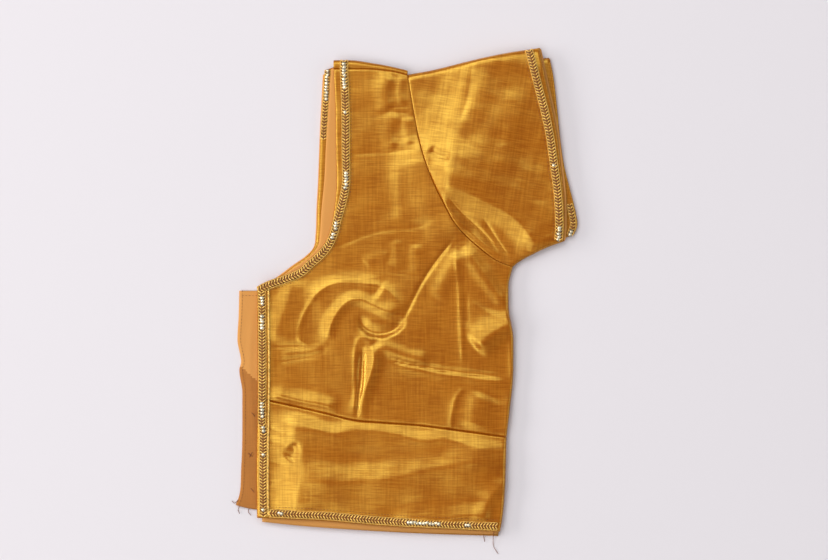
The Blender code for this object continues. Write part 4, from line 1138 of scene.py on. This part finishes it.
class BLOUSE_OT_front(Operator):
    """Left front on top: bodice, waistband and the roll of the shoulder"""
    bl_idname = "blouse.make_front"
    bl_label = "Left front"

    def execute(self, context):
        for name, points, node in (("bodice", bodice_points(), "front_bodice"),
                                   ("waistband", waistband_points(), "front_waistband"),
                                   ("shoulder", shoulder_points(), "back_shoulder")):
            piece = cloth_sheet(name, points, "gold_silk_tissue", "cotton_lining")
            turnings = 0.8 if name == "shoulder" else TURNINGS
            declare(piece, points, (node,), turnings=turnings)
        return {"FINISHED"}


class BLOUSE_OT_sleeves(Operator):
    """Near sleeve over the far sleeve, each a flattened tube"""
    bl_idname = "blouse.make_sleeves"
    bl_label = "Sleeves"

    def execute(self, context):
        for name, halves, nodes, below in (
                ("near_sleeve", sleeve_points(), ("sleeve", "sleeve_underside"), ["far_sleeve_cloth"]),
                ("far_sleeve_cloth", far_sleeve_points(), ("far_sleeve",), [])):
            piece = cloth_sheet(name, tube_of(*halves), "gold_silk_tissue", "cotton_lining", grain=-8.0,
                                tube=True)
            declare(piece, halves[0], nodes, round_tube=True)
        return {"FINISHED"}


class BLOUSE_OT_layers(Operator):
    """Left back, right back and right front, which show at the neckline and the hem"""
    bl_idname = "blouse.make_layers"
    bl_label = "Layers below"

    def execute(self, context):
        for name, neck, shift, top, inset, faces, nodes, below in (
                ("left_back", LEFT_BACK_NECK, 1.6, LEFT_BACK_Z, 1.2, ("cotton_lining", "gold_silk_tissue"),
                 ("left_back_neck", "back_hem"), ["right_back"]),
                ("right_back", RIGHT_BACK_NECK, 0.8, RIGHT_BACK_Z, 1.6, ("gold_silk_tissue", "cotton_lining"),
                 ("right_back_neck",), ["right_front"]),
                ("right_front", LOWEST_NECK, 0.0, RIGHT_FRONT_Z, 1.4, ("cotton_lining", "gold_silk_tissue"),
                 ("folded_layers",), [])):
            points = layer_points(neck, LOWEST_HEM, shift, top, inset, int(top * 10))
            piece = cloth_sheet(name, points, *faces)
            declare(piece, points, nodes)
        points = underlap_points()
        piece = cloth_sheet("hook_underlap", points, "cotton_lining", "gold_silk_tissue")
        piece.data.materials.append(bpy.data.materials["cotton_facing"])
        for face in piece.data.polygons:
            foot = NOTCH_Y - 0.9 * (face.center.x / MM + 136.0)
            if face.material_index == 0 and face.center.y < foot * MM:
                face.material_index = 2
        declare(piece, points, ("underlap",), turnings=2.0)
        return {"FINISHED"}


class BLOUSE_OT_braids(Operator):
    """Zari braids with their ground, edge cords and sequins, and the twisted piping"""
    bl_idname = "blouse.make_braids"
    bl_label = "Braids"

    def execute(self, context):
        trim = context.scene.blouse_trim
        materials = bpy.data.materials
        top = surface_of("bodice", "waistband", "shoulder", "near_sleeve")
        below = surface_of("left_back", "right_back", "far_sleeve_cloth")
        plait, ground, cord, sequins = plait_tree(), ground_tree(), cord_tree(), sequin_tree()
        edges, middles, masks = [], [], []
        for name, line in braid_lines().items():
            lower = name in ("back_neck_braid", "far_sleeve_braid")
            width = 4.6 * MM if lower else trim.width
            laid = laid_on(below if lower else top, line, 0.45)
            nodes = () if name == "far_sleeve_braid" else (name,)
            raised = laid + np.array((0.0, 0.0, 0.55))
            grown(f"{name}_plait", path_mesh(name, [raised]), plait, "zari_braid", nodes,
                  Pitch=trim.pitch, Width=width, Seed=trim.seed, Material=materials["zari_plait"])
            # ground ribbon under the plait, its dark colour painted shade between the strands
            grown(f"{name}_ground", path_mesh(name, [laid]), ground, "zari_braid", Pitch=trim.pitch,
                  Width=width * 0.96, Height=0.5 * MM, Material=materials["zari_ground"])
            for side in (-0.5, 0.5):
                edge_line = beside(laid[:, :2], np.full(len(laid), side * width / MM))
                edges.append(np.column_stack((edge_line, laid[:, 2] + 0.4)))
            middles.append(laid + np.array((0.0, 0.0, 1.0)))
            masks.append(sewn_mask(name, line))
        grown("braid_edge_cords", path_mesh("braid_edge_cords", edges), cord, "zari_braid", Pitch=1.0 * MM,
              Width=0.5 * MM, Seed=trim.seed, Material=materials["zari_cord"])
        grown("foil_sequins", path_mesh("foil_sequins", middles, masks), sequins, "zari_braid",
              Pitch=trim.sequin * 0.7, Width=trim.sequin, Tilt=math.radians(19.0), Seed=trim.seed,
              Material=materials["sequin_foil"])
        front = upright(FRONT_EDGE, 184, low=-181.0, high=2.0)
        piping = laid_on(top, beside(front, np.full(len(front), 9.6)), 0.7)
        grown("twisted_piping", path_mesh("twisted_piping", [piping]), cord, "zari_braid", ("front_piping",),
              Pitch=1.5 * MM, Width=1.5 * MM, Seed=trim.seed, Material=materials["zari_cord"])
        return {"FINISHED"}


class BLOUSE_OT_stitching(Operator):
    """Stitches beside the braids and on the underlap, and the loose thread ends"""
    bl_idname = "blouse.make_stitching"
    bl_label = "Stitching"

    def execute(self, context):
        trim = context.scene.blouse_trim
        top = surface_of("bodice", "waistband", "shoulder", "near_sleeve")
        flap = surface_of("hook_underlap")
        lines = braid_lines()
        rows = [laid_on(top, lines["hem_braid"] + np.array((0.0, 5.2)), 0.1),
                laid_on(top, beside(lines["neck_braid"], np.full(len(lines["neck_braid"]), 4.6)), 0.1),
                laid_on(top, beside(lines["sleeve_braid"], np.full(len(lines["sleeve_braid"]), -4.8)), 0.1)]
        edge_line = upright(UNDERLAP_EDGE, 160)
        rows.append(laid_on(flap, beside(edge_line, np.full(len(edge_line), 2.6)), 0.1))
        across = np.column_stack((np.linspace(-134.0, -123.0, 24), np.full(24, -2.4)))
        rows.append(laid_on(flap, across, 0.1))
        thread = bpy.data.materials["sewing_thread"]
        grown("running_stitches", path_mesh("running_stitches", rows), stitch_tree(), "cotton_lining",
              Pitch=trim.stitch, Width=0.32 * MM, Seed=trim.seed, Material=thread)
        ends = path_mesh("loose_threads", [rounded(line) for line in LOOSE_THREADS])
        grown("loose_threads", ends, cord_tree(), "cotton_lining",
              Pitch=0.5 * MM, Width=0.4 * MM, Seed=trim.seed, Material=thread)
        return {"FINISHED"}


class BLOUSE_PT_panel(Panel):
    """Pieces of the blouse and their settings"""
    bl_idname = "BLOUSE_PT_panel"
    bl_label = "Choli blouse"
    bl_space_type = "VIEW_3D"
    bl_region_type = "UI"
    bl_category = "Blouse"

    def draw(self, context):
        for operator in OPERATORS:
            self.layout.operator(operator.bl_idname)
        for group, settings in SETTINGS.items():
            box = self.layout.box()
            for name in settings.__annotations__:
                box.prop(getattr(context.scene, group), name)


SETTINGS = {"blouse_stage": BlouseStageSettings, "blouse_cloth": BlouseClothSettings,
            "blouse_trim": BlouseTrimSettings}
OPERATORS = (BLOUSE_OT_stage, BLOUSE_OT_layers, BLOUSE_OT_front, BLOUSE_OT_sleeves, BLOUSE_OT_braids,
             BLOUSE_OT_stitching)
CLASSES = (*SETTINGS.values(), *OPERATORS, BLOUSE_PT_panel)


def register():
    for group in CLASSES:
        bpy.utils.register_class(group)
    for name, settings in SETTINGS.items():
        setattr(bpy.types.Scene, name, PointerProperty(type=settings))


def unregister():
    for name in SETTINGS:
        delattr(bpy.types.Scene, name)
    for group in reversed(CLASSES):
        bpy.utils.unregister_class(group)


def main():
    register()
    bpy.ops.blouse.make_stage()
    bpy.ops.blouse.make_layers()
    bpy.ops.blouse.make_front()
    bpy.ops.blouse.make_sleeves()
    bpy.ops.blouse.make_braids()
    bpy.ops.blouse.make_stitching()


if __name__ == "__main__":
    main()
